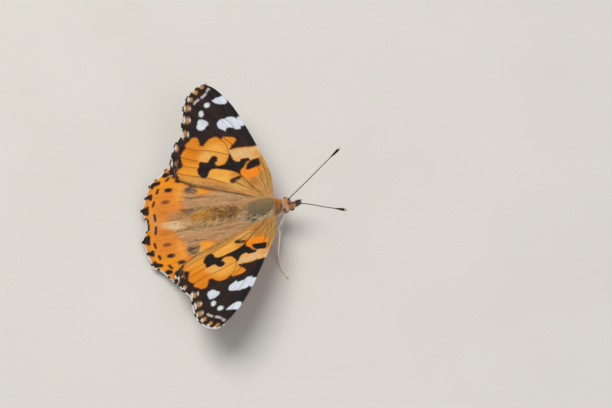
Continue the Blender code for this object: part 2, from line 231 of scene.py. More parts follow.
# %% Outlines of the wings
FOREWING = {
    "leading": [
        (-0.35, 0.3), (3.0, 0.4), (6.0, 0.1), (12.0, -2.1), (18.0, -4.7), (22.0, -6.7),
        (25.0, -8.8), (27.0, -10.6), (28.0, -12.0),
    ],
    "margin": [
        (28.0, -12.0), (28.4, -13.6), (27.6, -15.4), (26.1, -16.8), (24.2, -17.9), (21.5, -18.5),
        (19.0, -18.8), (17.4, -19.2), (15.0, -20.9), (12.2, -21.9), (9.8, -22.6), (8.4, -22.1),
    ],
    "inner": [
        (-0.35, -2.3), (1.2, -5.2), (2.9, -10.0), (4.5, -15.0), (5.5, -17.8), (7.0, -20.7),
        (8.4, -22.1),
    ],
}
HINDWING = {
    "leading": [
        (-0.35, -2.9), (2.8, -3.8), (6.5, -6.8), (10.0, -10.8), (12.6, -15.3), (13.6, -19.2),
        (13.0, -21.6),
    ],
    "margin": [
        (13.0, -21.6), (11.2, -23.2), (9.4, -24.7), (8.4, -25.9), (7.9, -26.9), (6.1, -27.6),
        (4.2, -28.3), (2.7, -28.6), (1.4, -29.3), (0.3, -29.0), (-0.7, -28.3), (-2.60, -28.1),
    ],
    "inner": [
        (-0.35, -5.4), (-0.75, -9.0), (-1.05, -13.0), (-1.45, -15.6), (-2.05, -17.1),
        (-2.75, -18.4), (-2.95, -20.4), (-2.90, -25.0), (-2.60, -28.1),
    ],
}
for word, outline in (("forewing", FOREWING), ("hindwing", HINDWING)):
    print(word, "tip is", round(math.dist(outline["leading"][0], outline["leading"][-1]), 1),
          "mm from its root")

# %% [markdown]
# Two helpers turn those few points into a wing. The first runs a smooth curve through
# them, as a bent spline held by pins does. The second fills a sheet from its four
# edges: each inner point is a mix of them, so that rows of points run out from the
# root as rows of scales do. A filled face would have no such rows.

# %% Curves and fans
CURVE_STEPS = 24          # straight pieces between two given points of a curve
EDGE_STEPS = 400          # points along each edge of a fan


def smooth_line(points, count):
    """Evenly spaced points on a smooth curve through the given ones."""
    given = np.array(points, float)
    before = np.vstack([2 * given[0] - given[1], given[:-2], given[-2:-1]])[:len(given) - 1]
    after = np.vstack([given[2:], 2 * given[-1] - given[-2]])
    dense = []
    for a, b, c, d in zip(before, given[:-1], given[1:], after):
        t = np.linspace(0, 1, CURVE_STEPS, endpoint=False)[:, None]
        dense.append(0.5 * (2 * b + (c - a) * t + (2 * a - 5 * b + 4 * c - d) * t ** 2
                            + (3 * b - a - 3 * c + d) * t ** 3))
    dense = np.vstack(dense + [given[-1:]])
    along = np.concatenate([[0], np.cumsum(np.linalg.norm(np.diff(dense, axis=0), axis=1))])
    wanted = np.linspace(0, along[-1], count)
    return np.column_stack([np.interp(wanted, along, column) for column in dense.T])


def fan_points(outline, u, v):
    """Place on the wing of each grid point: u runs across the fan, v from root to margin."""
    fine = np.linspace(0, 1, EDGE_STEPS)
    sides = {name: smooth_line(points, EDGE_STEPS) for name, points in outline.items()}

    def side(name, t):
        return np.column_stack([np.interp(t, fine, column) for column in sides[name].T])

    lead, inner, margin = side("leading", v), side("inner", v), side("margin", u)
    corner = {name: line[[0, -1]] for name, line in sides.items()}
    u, v = u[:, None], v[:, None]
    root = corner["leading"][0] * (1 - u) + corner["inner"][0] * u
    flat = ((1 - u) * (1 - v) * corner["leading"][0] + u * (1 - v) * corner["inner"][0]
            + (1 - u) * v * corner["leading"][1] + u * v * corner["inner"][1])
    return (1 - u) * lead + u * inner + (1 - v) * root + v * margin - flat


print("middle of the forewing is", fan_points(FOREWING, np.array([0.5]), np.array([0.5])).round(1))

# %% [markdown]
# Veins are hollow struts between the two skins, and they branch from the root as a
# tree does. They thicken the wing, they crease it, so that it catches the light in
# long strips, and they carry thin dark lines of scales across the orange. Thin tubes
# laid on the sheet would show a step at each side. So a vein here is only a line from
# root to tip, and how far each point lies from it shapes and paints the wing.

# %% Veins of the wings
FORE_VEINS = {
    "subcosta": [(0.0, -0.2), (5.0, -0.7), (9.5, -1.7), (12.6, -2.8)],
    "radius": [(0.0, -0.7), (6.0, -2.0), (11.0, -3.9), (17.3, -5.4)],
    "radial stem": [(11.0, -3.9), (14.0, -5.2), (18.5, -7.2), (23.5, -9.4), (27.6, -12.8)],
    "cubital stem": [(0.0, -1.2), (3.5, -4.4), (6.5, -6.8), (11.0, -8.6)],
    "cell end": [(13.6, -5.0), (12.4, -6.8), (11.0, -8.6)],
    "media 1": [(13.6, -5.0), (19.0, -9.4), (25.6, -16.9)],
    "media 2": [(12.4, -6.8), (17.5, -11.8), (23.4, -17.7)],
    "media 3": [(11.0, -8.6), (12.8, -8.8), (14.3, -9.7), (16.6, -12.6), (19.6, -18.4)],
    "cubitus 1": [(11.0, -8.6), (12.0, -11.2), (12.8, -13.6), (13.3, -16.2), (15.3, -20.6)],
    "cubitus 2": [(8.4, -7.6), (8.7, -11.4), (9.2, -16.2), (10.2, -19.4), (11.5, -21.9)],
    "fold": [(10.8, -16.0), (11.5, -18.0), (12.4, -20.2), (13.0, -21.4)],
    "anal": [(0.0, -1.6), (3.4, -7.5), (6.4, -13.8), (7.6, -17.8), (9.3, -22.2)],
}
HIND_VEINS = {
    "subcosta": [(0.0, -3.2), (5.0, -7.2), (9.3, -12.0), (13.2, -19.8)],
    "radial stem": [(0.0, -3.8), (3.5, -7.4), (5.4, -10.4)],
    "radial sector": [(3.5, -7.4), (8.4, -13.6), (12.4, -22.0)],
    "media 1": [(5.4, -10.4), (8.0, -16.0), (10.8, -23.5)],
    "media 2": [(5.4, -10.4), (6.3, -17.0), (8.4, -25.8)],
    "media 3": [(3.0, -13.2), (4.8, -19.8), (7.1, -27.2)],
    "cubital stem": [(0.0, -4.4), (1.6, -9.0), (3.0, -13.2)],
    "cubitus 1": [(3.0, -13.2), (3.6, -20.0), (4.3, -28.2)],
    "cubitus 2": [(1.6, -9.0), (1.6, -18.0), (1.3, -29.2)],
    "anal": [(0.0, -4.8), (0.4, -12.0), (-0.3, -20.0), (-0.8, -28.2)],
}


def distance_to(points, line):
    """Distance in the plane of each point from a run of straight pieces."""
    best = np.full(len(points), 1e9)
    for a, b in zip(line[:-1], line[1:]):
        span = b - a
        t = np.clip((points - a) @ span / (span @ span), 0, 1)[:, None]
        best = np.minimum(best, np.linalg.norm(points - a - t * span, axis=1))
    return best


def vein_distance(points, veins):
    """Distance of each point from its nearest vein."""
    lines = [smooth_line(line, 14) for line in veins.values()]
    return np.min([distance_to(points, line) for line in lines], axis=0)


print(len(FORE_VEINS), "veins in a forewing and", len(HIND_VEINS), "in a hindwing")

# %% [markdown]
# The pattern. Each patch of colour on the real wing has soft, slightly ragged edges,
# because it is laid down scale by scale. A texture picture could hold it, but a shape
# in millimetres can be checked and moved. So the patches are closed outlines, painted
# one over another onto the grid's own points, back to front, as on a canvas. A colour
# attribute holds them, so the pattern rides on the mesh.

# %% Painting helpers
def soft_edge(depth, soft):
    """Cover by depth inside an edge: 0 outside it, 1 inside, and soft between."""
    part = np.clip(0.5 + depth / (2 * soft), 0, 1)
    return part * part * (3 - 2 * part)


SPREAD = 0.04             # how far a patch spreads past its outline, in millimetres


def patch(points, corners, soft):
    """Cover, from 0 to 1, of a rounded closed patch given by its corners."""
    ring = np.array(corners, float)
    cover = np.zeros(len(points))
    near = np.all((points > ring.min(0) - 2) & (points < ring.max(0) + 2), axis=1)
    if not near.any():
        return cover
    wrapped = np.vstack([ring[-2:], ring, ring[:3]])
    line = smooth_line(wrapped, 8 * len(wrapped))
    first = np.argmin(np.linalg.norm(line - ring[0], axis=1)[:len(line) // 2])
    last = len(line) // 2 + np.argmin(np.linalg.norm(line - ring[0], axis=1)[len(line) // 2:])
    line = np.vstack([line[first:last], line[first]])
    close = points[near]
    inside = np.zeros(len(close), bool)
    for a, b in zip(line[:-1], line[1:]):
        if a[1] != b[1]:
            beside = (a[1] > close[:, 1]) != (b[1] > close[:, 1])
            crossing = a[0] + (close[:, 1] - a[1]) * (b[0] - a[0]) / (b[1] - a[1])
            inside ^= beside & (close[:, 0] < crossing)
    cover[near] = soft_edge(distance_to(close, line) * np.where(inside, 1, -1) + SPREAD, soft)
    return cover


def oval(points, centre, across, along, soft):
    """Cover of an oval spot of the given half widths."""
    size = np.array([across, along], float)
    depth = (1 - np.linalg.norm((points - np.array(centre)) / size, axis=1)) * size.min()
    return soft_edge(depth, soft)


def stroke(points, line, half_width, soft):
    """Cover of a painted line."""
    return soft_edge(half_width - distance_to(points, smooth_line(line, 12)), soft)


def lay(paint, cover, hex_colour):
    """Lay a colour over the paint where its cover says."""
    return paint + np.clip(cover, 0, 1)[:, None] * (linear(hex_colour) - paint)


def wash(paint, points, ovals):
    """Lay soft ovals: each is its cover, centre, half widths, softness and colour."""
    for cover, centre, across, along, soft, tint in ovals:
        paint = lay(paint, cover * oval(points, centre, across, along, soft), tint)
    return paint


def mottle(x, y, seed):
    """Soft random field, roughly -1 to 1, the same on every run."""
    return np.array([noise.noise(Vector((p, q, seed))) for p, q in zip(x, y)])


across_edge = oval(np.array([(0, 0), (0, 0.9), (0, 1), (0, 1.1)]), (0, 0), 1.0, 1.0, 0.2)
print("cover of a spot from its middle to past its edge", across_edge.round(2))

# %% [markdown]
# Marks of the forewing as (span, chord) in millimetres. The orange field ends at a
# scalloped line against the black tip. Across it run a black bar and two black blots,
# and the tip carries the white spots and the white-edged margin. Noise could make such
# blots too, but each has a shape by which the species is known, so each is drawn.

# %% Marks of the forewing
ORANGE_FIELD = [
    (12.0, -0.6), (12.0, -3.0), (12.2, -5.5), (12.2, -7.2), (12.1, -8.3), (12.9, -8.0),
    (13.3, -7.5), (14.2, -6.8), (14.8, -7.3), (15.1, -8.5), (15.2, -9.7), (14.6, -10.0),
    (15.0, -10.4), (15.5, -11.2), (15.5, -12.2), (15.1, -13.1), (14.5, -13.9), (14.0, -14.2),
    (14.2, -15.1), (15.1, -15.3), (16.0, -15.6), (16.3, -16.3), (16.1, -17.1), (15.5, -17.6),
    (15.1, -18.3), (14.1, -18.5), (13.5, -19.1), (12.6, -19.7), (11.3, -19.6), (10.3, -19.4),
    (9.8, -19.9), (9.4, -20.7), (8.9, -21.1), (8.2, -20.8), (7.3, -20.6), (6.2, -21.5),
    (-3.0, -16.0), (-3.0, 2.0), (8.0, 2.0),
]
BASE_ZONE = [
    (-3.0, 2.0), (6.2, 2.0), (5.3, -2.0), (5.2, -4.4), (4.9, -6.5), (4.6, -9.5), (5.4, -12.5),
    (6.2, -15.5), (7.0, -18.5), (8.0, -21.0), (6.0, -23.0), (-3.0, -12.0),
]
COSTAL_PATCH = [
    (9.6, -1.6), (10.8, -1.6), (11.8, -2.1), (12.0, -3.0), (11.9, -4.0), (12.1, -5.0),
    (12.1, -6.5), (12.0, -8.2), (11.2, -8.3), (10.2, -8.1), (9.6, -7.6), (9.1, -6.8),
    (9.2, -6.2), (9.6, -5.7), (9.6, -4.6), (9.2, -4.0), (9.1, -3.2), (9.3, -2.3),
]
CELL_GLOW = [
    (5.5, -2.1), (7.4, -2.0), (7.3, -3.6), (7.1, -5.0), (8.1, -4.9), (9.1, -4.1), (9.0, -4.7),
    (8.3, -5.3), (7.5, -5.9), (7.3, -6.5), (6.4, -6.4), (5.2, -5.2), (5.2, -3.6),
]
CELL_BAR = [
    (7.55, -1.9), (8.5, -1.9), (9.2, -2.2), (9.05, -3.0), (8.9, -3.7), (8.5, -4.4), (7.9, -4.85),
    (7.1, -5.0), (7.05, -4.3), (7.2, -3.6), (7.4, -2.8),
]
CELL_END_BLOT = [
    (9.0, -4.2), (9.5, -4.3), (9.6, -5.2), (9.5, -6.0), (9.1, -6.4), (9.1, -6.9), (9.4, -7.5),
    (10.0, -7.9), (11.0, -8.4), (10.4, -8.8), (9.8, -9.1), (9.1, -9.7), (8.85, -10.4),
    (8.8, -11.3), (9.1, -12.2), (8.5, -12.4), (8.2, -11.3), (7.9, -10.2), (7.6, -9.3),
    (7.3, -8.4), (6.9, -7.6), (6.5, -7.0), (6.1, -6.5), (7.0, -6.4), (7.4, -6.1), (7.6, -5.7),
    (8.3, -5.2), (8.9, -4.7),
]
INNER_SPOT = [
    (5.2, -6.6), (5.7, -6.4), (5.8, -7.0), (5.5, -8.2), (5.2, -8.9), (4.5, -8.8), (4.3, -8.2),
    (4.7, -7.6),
]
MEDIAN_PATCH = [
    (5.9, -6.7), (6.5, -7.1), (6.9, -8.0), (7.5, -9.6), (8.0, -11.2), (8.4, -12.4), (8.1, -13.2),
    (7.3, -13.8), (6.8, -13.7), (6.1, -12.9), (5.5, -11.2), (4.8, -9.4), (5.4, -8.8), (5.7, -7.9),
]
OUTER_BLOT = [
    (9.0, -11.9), (9.6, -12.1), (10.1, -11.5), (10.7, -11.4), (11.2, -11.9), (11.2, -12.6),
    (10.6, -13.1), (10.1, -13.6), (10.1, -14.3), (10.4, -15.3), (10.0, -15.7), (9.3, -15.7),
    (8.8, -16.1), (8.2, -16.1), (7.4, -15.8), (6.8, -15.3), (6.6, -14.4), (7.2, -13.9),
    (8.1, -13.4), (8.4, -12.8), (8.4, -12.2),
]
BAR_FRONT = [
    (17.2, -5.2), (17.5, -4.3), (18.4, -4.7), (19.3, -5.3), (19.4, -5.9), (18.6, -6.05),
    (17.8, -5.6),
]
BAR_MIDDLE = [
    (16.7, -5.4), (17.3, -5.5), (18.2, -5.9), (19.1, -6.4), (19.6, -7.2), (19.6, -8.6),
    (18.8, -8.3), (17.9, -7.5), (17.2, -7.1), (16.7, -6.6), (16.6, -6.0),
]
BAR_REAR = [
    (17.2, -7.0), (17.9, -7.4), (18.8, -8.2), (19.4, -8.8), (19.4, -9.8), (18.9, -10.5),
    (18.2, -10.7), (17.6, -10.4), (17.1, -9.6), (16.7, -9.0), (17.3, -8.6), (17.3, -8.0),
]
TIP_SPOT = [
    (23.0, -8.6), (23.4, -8.0), (24.3, -8.3), (25.0, -8.9), (24.7, -9.6), (24.6, -10.4),
    (24.2, -11.3), (23.8, -10.9), (23.4, -10.3), (23.1, -9.5),
]
TEAR_SPOT = [
    (18.9, -12.7), (19.5, -13.1), (20.1, -14.0), (20.1, -14.8), (19.3, -15.2), (18.6, -15.4),
    (17.9, -15.1), (17.7, -14.4), (17.9, -13.8), (18.4, -13.2),
]
TIP_DASHES = [
    ((24.2, -15.5), (25.0, -14.6)), ((25.4, -13.7), (26.0, -12.7)), ((26.6, -12.4), (27.1, -11.9)),
]
# Each lunule: its orange heart and its white outer rim as (span, chord, half sizes)
EDGE_LUNULES = [
    ((27.8, -13.4, 0.42, 0.45), (28.25, -14.1, 0.35, 0.40)),
    ((26.8, -14.9, 0.52, 0.42), (27.3, -15.5, 0.50, 0.32)),
    ((25.3, -16.2, 0.52, 0.38), (25.5, -16.8, 0.60, 0.30)),
    ((23.4, -17.1, 0.72, 0.38), (23.5, -17.8, 0.65, 0.26)),
    ((20.6, -17.5, 0.80, 0.34), (20.8, -18.2, 0.85, 0.26)),
    ((17.6, -18.3, 0.75, 0.32), (17.4, -18.9, 0.90, 0.30)),
    ((14.5, -20.4, 0.70, 0.32), (14.9, -20.8, 0.90, 0.28)),
    ((11.0, -21.1, 0.40, 0.22), (11.4, -22.0, 0.85, 0.26)),
]
EDGE_WHITES = [(20.6, -16.95, 0.62, 0.20), (17.3, -17.6, 0.62, 0.24), (23.3, -16.6, 0.45, 0.15)]
print("orange field reaches from span", min(ORANGE_FIELD)[0], "to", max(ORANGE_FIELD)[0], "mm")

# %% [markdown]
# Streaks. Scales stand in rows along the veins, and near the root loose hair lies over
# them, so every wing is finely lined from root to margin. A stretched noise texture
# would run straight. This noise is stretched along the fan, so it spreads as they do.

# %% Streaks along a wing
def streaks(u, v, seed):
    """Fine lines running from the root to the margin, about -1 to 1."""
    coarse = mottle(u * 22, v * 2.0, seed)
    fine = mottle(u * 70, v * 6.0, seed + 5)
    return 1.2 * coarse + 0.6 * fine


print("streaks range over", np.ptp(streaks(np.linspace(0, 1, 99), np.full(99, 0.5), 1.0)).round(1))

# %% [markdown]
# The orange of the forewing isn't one colour. It is deepest towards the rear corner,
# paler in the middle and along the front edge, and dull gold near the root, where hair
# covers it. One gradient couldn't do this, so soft ovals are washed over a ground.

# %% Forewing, orange
FIELD_WASHES = [
    (0.9, (13.6, -16.6), 3.2, 3.2, 1.8, "#DD7F0E"), (1.0, (11.6, -11.6), 2.4, 3.4, 1.1, "#E9A444"),
    (1.0, (13.0, -11.2), 0.9, 1.9, 0.7, "#EFA540"), (0.8, (11.4, -14.0), 1.0, 1.7, 0.6, "#EBAE5C"),
    (0.8, (8.4, -17.6), 1.6, 2.3, 1.1, "#EFA034"),
]
BASE_WASHES = [
    (0.7, (6.3, -16.0), 0.9, 4.2, 0.7, "#D79C48"), (0.8, (2.6, -1.6), 4.2, 0.9, 0.8, "#B07C36"),
    (0.9, (3.6, -3.6), 1.9, 1.2, 0.8, "#BC782A"), (0.8, (5.6, -1.0), 6.5, 0.7, 0.6, "#BE9048"),
]
COSTAL_WASHES = [
    (0.9, (11.2, -2.2), 0.7, 0.45, 0.35, "#F2C684"), (0.8, (10.2, -2.6), 0.9, 0.7, 0.5, "#DF9A42"),
]
MEDIAN_WASHES = [
    (0.8, (6.3, -7.8), 0.6, 1.2, 0.4, "#D6812C"), (0.5, (5.9, -10.2), 0.5, 1.4, 0.4, "#F4B84E"),
]


def forewing_orange(spots):
    """The orange of a forewing, as if no black lay round it."""
    paint = np.tile(linear("#E58C1A"), (len(spots), 1))
    paint = wash(paint, spots, FIELD_WASHES)
    paint = lay(paint, patch(spots, BASE_ZONE, 1.1), "#CA9446")
    paint = wash(paint, spots, BASE_WASHES)
    paint = lay(paint, patch(spots, COSTAL_PATCH, 0.25), "#E3B67A")
    paint = lay(paint, 0.8 * oval(spots, (9.7, -7.0), 0.7, 1.0, 0.5), "#EDA548")
    outer = stroke(spots, [(11.9, -3.4), (12.0, -5.0), (11.9, -8.0)], 0.15, 0.3)
    paint = lay(paint, 0.7 * outer, "#E39A3A")
    paint = wash(paint, spots, COSTAL_WASHES)
    paint = lay(paint, patch(spots, CELL_GLOW, 0.30), "#F48A16")
    paint = lay(paint, patch(spots, MEDIAN_PATCH, 0.25), "#EDA844")
    return wash(paint, spots, MEDIAN_WASHES)


print("orange at the middle of the field", forewing_orange(np.array([(12.0, -11.0)])).round(2))

# %% [markdown]
# Black and white. The black is a warm brown-black, with a painted bluish reflection of
# the sky along the front edge. The bar and the blots are darker still, with a rusty rim
# where orange scales mix with theirs. The white marks are a cool white, since they have
# no pigment and only scatter light.

# %% Forewing, black and white
COSTAL_BLUE_SHEEN = [(11.5, -2.0), (18.0, -4.7), (23.0, -7.4), (27.0, -11.0)]


def forewing_black(points, spots):
    """The black ground of a forewing, with a painted bluish reflection along its front edge."""
    cloud = mottle(points[:, 0] * 0.5, points[:, 1] * 0.5, 9.0)
    paint = np.tile(linear("#201512"), (len(points), 1))
    paint = lay(paint, 0.5 + 0.8 * cloud, "#2D1D17")
    # painted reflection: a bluish sheen of the sky along the front edge
    paint = lay(paint, stroke(spots, COSTAL_BLUE_SHEEN, 1.0, 1.0), "#1F2026")
    return lay(paint, 0.8 * stroke(points, FOREWING["leading"][3:], 1.8, 1.5), "#0D0C12")


def forewing_blots(paint, spots):
    """The black marks that lie on the orange, and the corner behind it."""
    for mark in (CELL_BAR, CELL_END_BLOT, OUTER_BLOT):
        cover = patch(spots, mark, 0.17)
        paint = lay(paint, 0.5 * 4 * cover * (1 - cover), "#8A4414")
        paint = lay(paint, cover, "#181212")
    paint = lay(paint, patch(spots, INNER_SPOT, 0.22), "#211815")
    paint = lay(paint, 0.6 * oval(spots, (8.9, -21.4), 1.2, 0.40, 0.3), "#5C4A40")
    corner = stroke(spots, [(9.2, -20.6), (10.4, -20.8), (11.9, -20.5)], 0.08, 0.12)
    return lay(paint, 0.9 * corner, "#A5793F")


def forewing_whites(paint, spots):
    """The white bar and spots of the tip, and the marks along the outer margin."""
    for mark in (BAR_FRONT, BAR_MIDDLE, BAR_REAR, TIP_SPOT, TEAR_SPOT):
        paint = lay(paint, patch(spots, mark, 0.18), "#D7DEEA")
    paint = lay(paint, oval(spots, (23.35, -12.7), 0.58, 0.68, 0.18), "#DBE1E6")
    paint = lay(paint, oval(spots, (21.55, -14.15), 0.74, 0.58, 0.18), "#D5DAE2")
    for first, second in TIP_DASHES:
        paint = lay(paint, stroke(spots, [first, second], 0.27, 0.17), "#C3B5B2")
    for heart, outer in EDGE_LUNULES:
        paint = lay(paint, oval(spots, heart[:2], heart[2], heart[3], 0.18), "#C0823F")
        paint = lay(paint, oval(spots, outer[:2], outer[2], outer[3], 0.15), "#DED8D0")
    for a, b, across, along in EDGE_WHITES:
        paint = lay(paint, oval(spots, (a, b), across, along, 0.13), "#CFC7C2")
    return paint


tip_spot = np.mean(TIP_SPOT, axis=0)[None, :]
print("the tip spot is", forewing_whites(forewing_black(tip_spot, tip_spot), tip_spot).round(2))

# %% [markdown]
# Vein lines and the base. Thin brown lines follow the veins over the orange and cross
# the white bar. Near the root the streaks are strong. The two front wings differ in one
# thing: the right one's front edge shows its pale side, and the left one's inner edge
# carries a painted shadow line, where it lies over the hindwing.

# %% Forewing, upper side
LEFT_HEM_SHADOW = [(7.6, -21.4), (5.8, -18.6), (4.6, -15.3), (3.6, -12.2)]


def forewing_veins(paint, points, field, side):
    """The lines that the veins draw on the upper side."""
    thin = np.clip(1.3 - vein_distance(points, FORE_VEINS) / 0.11, 0, 1)
    white = np.clip((paint[:, 2] - 0.35) * 6, 0, 1) * (points[:, 1] > -9)
    lit = np.clip(3 * paint[:, 0], 0, 1) * np.clip(points[:, 0] - 0.8, 0, 1)
    lit = lit * (1 - 0.8 * patch(points, COSTAL_PATCH, 0.5))
    paint = lay(paint, 0.75 * thin * field * lit, "#6E3610")
    crossing = stroke(points, [(16.9, -6.9), (18.0, -7.5), (19.5, -8.7)], 0.09, 0.10)
    paint = lay(paint, 0.75 * white * crossing, "#A0705A")
    if side == RIGHT:
        paint = lay(paint, 0.7 * stroke(points, FOREWING["leading"][2:], 0.10, 0.12), "#B09A80")
    return lay(paint, 0.30 * thin * (1 - field) * (1 - white), "#4A3226")


def forewing_base(paint, points, line, side):
    """The strong streaks near the root, apart from the smooth cell, and the painted shadow along the
    left hem.
    """
    lined = patch(points, BASE_ZONE, 1.2) - 0.8 * oval(points, (4.2, -4.0), 2.6, 1.5, 1.0)
    paint = lay(paint, 0.8 * lined * np.clip(-1.2 * line, 0, 1), "#74481C")
    paint = lay(paint, 0.7 * lined * np.clip(1.2 * line, 0, 1), "#E4B45E")
    cell_edge = stroke(points, [(0.6, -1.8), (3.5, -4.4), (6.4, -6.7)], 0.12, 0.12)
    paint = lay(paint, 0.8 * cell_edge, "#5E3A1A")
    if side == LEFT:
        # painted shadow where the left forewing's inner edge lies over the hindwing
        paint = lay(paint, 0.8 * stroke(points, LEFT_HEM_SHADOW, 0.10, 0.16), "#3E2E20")
    return paint


def paint_fore_upper(points, u, v, side):
    """Colours of the upper side of a forewing, laid from back to front."""
    rough = 0.12 * mottle(points[:, 0] * 3.1, points[:, 1] * 3.1, 3.0)
    ragged = 0.20 * mottle(u * 75, v * 18, 4.0)
    spots = points + np.column_stack([rough, ragged - rough])
    line = streaks(u, v, 1.0)
    field = patch(spots, ORANGE_FIELD, 0.20)
    paint = forewing_black(points, spots)
    paint = paint + field[:, None] * (forewing_orange(spots) - paint)
    paint = lay(paint, 0.45 * 4 * field * (1 - field), "#A04A12")
    paint = forewing_whites(forewing_blots(paint, spots), spots)
    paint = forewing_veins(paint, points, field, side)
    paint = forewing_base(paint, points, line, side)
    return np.clip(paint * (1 + 0.07 * line)[:, None], 0, 1)


half = np.array([0.5])
centre_paint = paint_fore_upper(fan_points(FOREWING, half, half), half, half, LEFT)
print("a forewing's middle is painted", centre_paint.round(2))

# %% [markdown]
# The hindwing has a tan inner zone covered by long hair, then an orange outer field
# with one row of round spots, a row of small bars, and black marks at the vein ends,
# which stand out between the white stretches of the fringe. It is painted as the
# forewing is, from outlines and washes, so that both look like one hand's work.

# %% Marks of the hindwing
HIND_ORANGE = [
    (20.0, -10.0), (8.0, -16.5), (6.6, -17.8), (5.9, -18.5), (5.3, -19.4), (4.2, -19.4),
    (2.9, -19.5), (1.7, -20.3), (1.0, -21.3), (-0.3, -22.3), (-1.0, -23.8), (-1.6, -25.2),
    (-1.9, -26.4), (-3.5, -27.2), (-4.0, -31.0), (20.0, -32.0),
]
GREY_BLOTCH = [
    (4.2, -16.7), (5.2, -16.9), (6.3, -17.3), (5.9, -18.2), (5.4, -19.0), (5.0, -19.6),
    (4.5, -19.3), (4.1, -18.2),
]
ORANGE_PATCH = [
    (3.3, -11.7), (4.2, -11.2), (5.0, -12.4), (5.5, -14.2), (5.7, -16.2), (4.5, -16.5),
    (3.5, -16.2), (3.0, -14.6),
]
EDGE_MARKS = [
    [(9.3, -23.0), (9.9, -22.8), (10.2, -23.5), (10.1, -24.5), (9.6, -24.6), (9.0, -24.0)],
    [(7.5, -25.0), (8.1, -25.0), (8.1, -26.2), (7.8, -27.0), (7.0, -27.2), (6.4, -26.8),
     (7.0, -26.3), (7.2, -25.6)],
    [(3.6, -27.1), (4.3, -26.8), (5.2, -26.9), (5.0, -27.6), (4.7, -28.4), (4.1, -28.3),
     (3.9, -27.6)],
    [(-0.1, -27.8), (1.0, -27.7), (2.3, -27.8), (1.9, -28.6), (1.5, -29.5), (0.4, -29.4),
     (0.1, -28.5)],
    [(11.6, -21.9), (12.5, -21.8), (12.6, -22.3), (11.9, -22.7)],
    [(-2.8, -27.8), (-1.2, -27.8), (-1.3, -28.3), (-2.8, -28.3)],
]
SMALL_BARS = [
    ((8.1, -23.5), (8.7, -23.0), 0.34), ((5.3, -25.8), (6.0, -25.5), 0.34),
    ((2.1, -26.8), (3.1, -26.5), 0.30), ((-1.6, -26.3), (-0.3, -26.4), 0.32),
]
print("hindwing has", len(EDGE_MARKS), "marks along its margin")

# %% Hindwing, upper side
OUTER_WASHES = [
    (0.8, (4.0, -20.4), 3.2, 1.3, 0.9, "#EFA03C"), (0.9, (8.2, -23.6), 2.4, 3.0, 1.0, "#EF930E"),
    (0.7, (0.5, -24.2), 1.8, 3.0, 1.2, "#D9802F"),
]
ROUND_SPOTS = [
    (1.0, (5.65, -23.1), 0.56, 0.98, 0.20, "#261C16"),
    (0.85, (2.75, -23.9), 0.50, 0.98, 0.28, "#5E3A20"),
    (0.30, (0.1, -24.4), 0.40, 0.90, 0.35, "#8A5226"),
    (1.0, (7.6, -20.7), 0.50, 0.95, 0.22, "#261D19"),
]
# line of the painted highlight on the right hindwing's curled-up inner margin
CURL_HIGHLIGHT_LINE = [(-1.4, -13.8), (-1.2, -18.0), (-1.4, -21.0), (-2.0, -24.5)]


def hindwing_inner(spots, line, side):
    """The tan inner zone of a hindwing, with its orange patch and grey blotch."""
    paint = np.tile(linear("#CFA878"), (len(spots), 1))
    paint = lay(paint, np.clip(line, 0, 1), "#E2BE8C")
    paint = lay(paint, 0.8 * np.clip(-line, 0, 1), "#A0734A")
    paint = lay(paint, 0.7 * oval(spots, (3.2, -18.0), 1.6, 1.6, 1.0), "#9A7254")
    if side == LEFT:
        paint = lay(paint, 0.9 * oval(spots, (-1.6, -21.0), 2.2, 4.0, 1.2), "#B27A44")
    paint = lay(paint, patch(spots, ORANGE_PATCH, 0.45), "#F2A02C")
    return lay(paint, 0.95 * patch(spots, GREY_BLOTCH, 0.35), "#4E3E34")


def hindwing_outer(spots, line):
    """The orange outer field of a hindwing."""
    paint = lay(np.tile(linear("#E68A24"), (len(spots), 1)), 0.35 + line, "#DC8028")
    paint = wash(paint, spots, OUTER_WASHES)
    rim = stroke(spots, [(-2.0, -27.3), (4.0, -27.0), (7.0, -25.6)], 0.4, 0.5)
    return lay(paint, 0.6 * rim, "#F0960C")


def hindwing_marks(paint, spots):
    """The round spots, the row of small bars and the black marks of the margin."""
    paint = wash(paint, spots, ROUND_SPOTS)
    for first, second, width in SMALL_BARS:
        paint = lay(paint, 0.95 * stroke(spots, [first, second], width, 0.16), "#2B1C17")
    paint = lay(paint, 0.8 * stroke(spots, [(-1.5, -26.75), (-0.5, -26.85)], 0.13, 0.12), "#A9A3AE")
    for mark in EDGE_MARKS:
        paint = lay(paint, patch(spots, mark, 0.15), "#1F1817")
    return paint


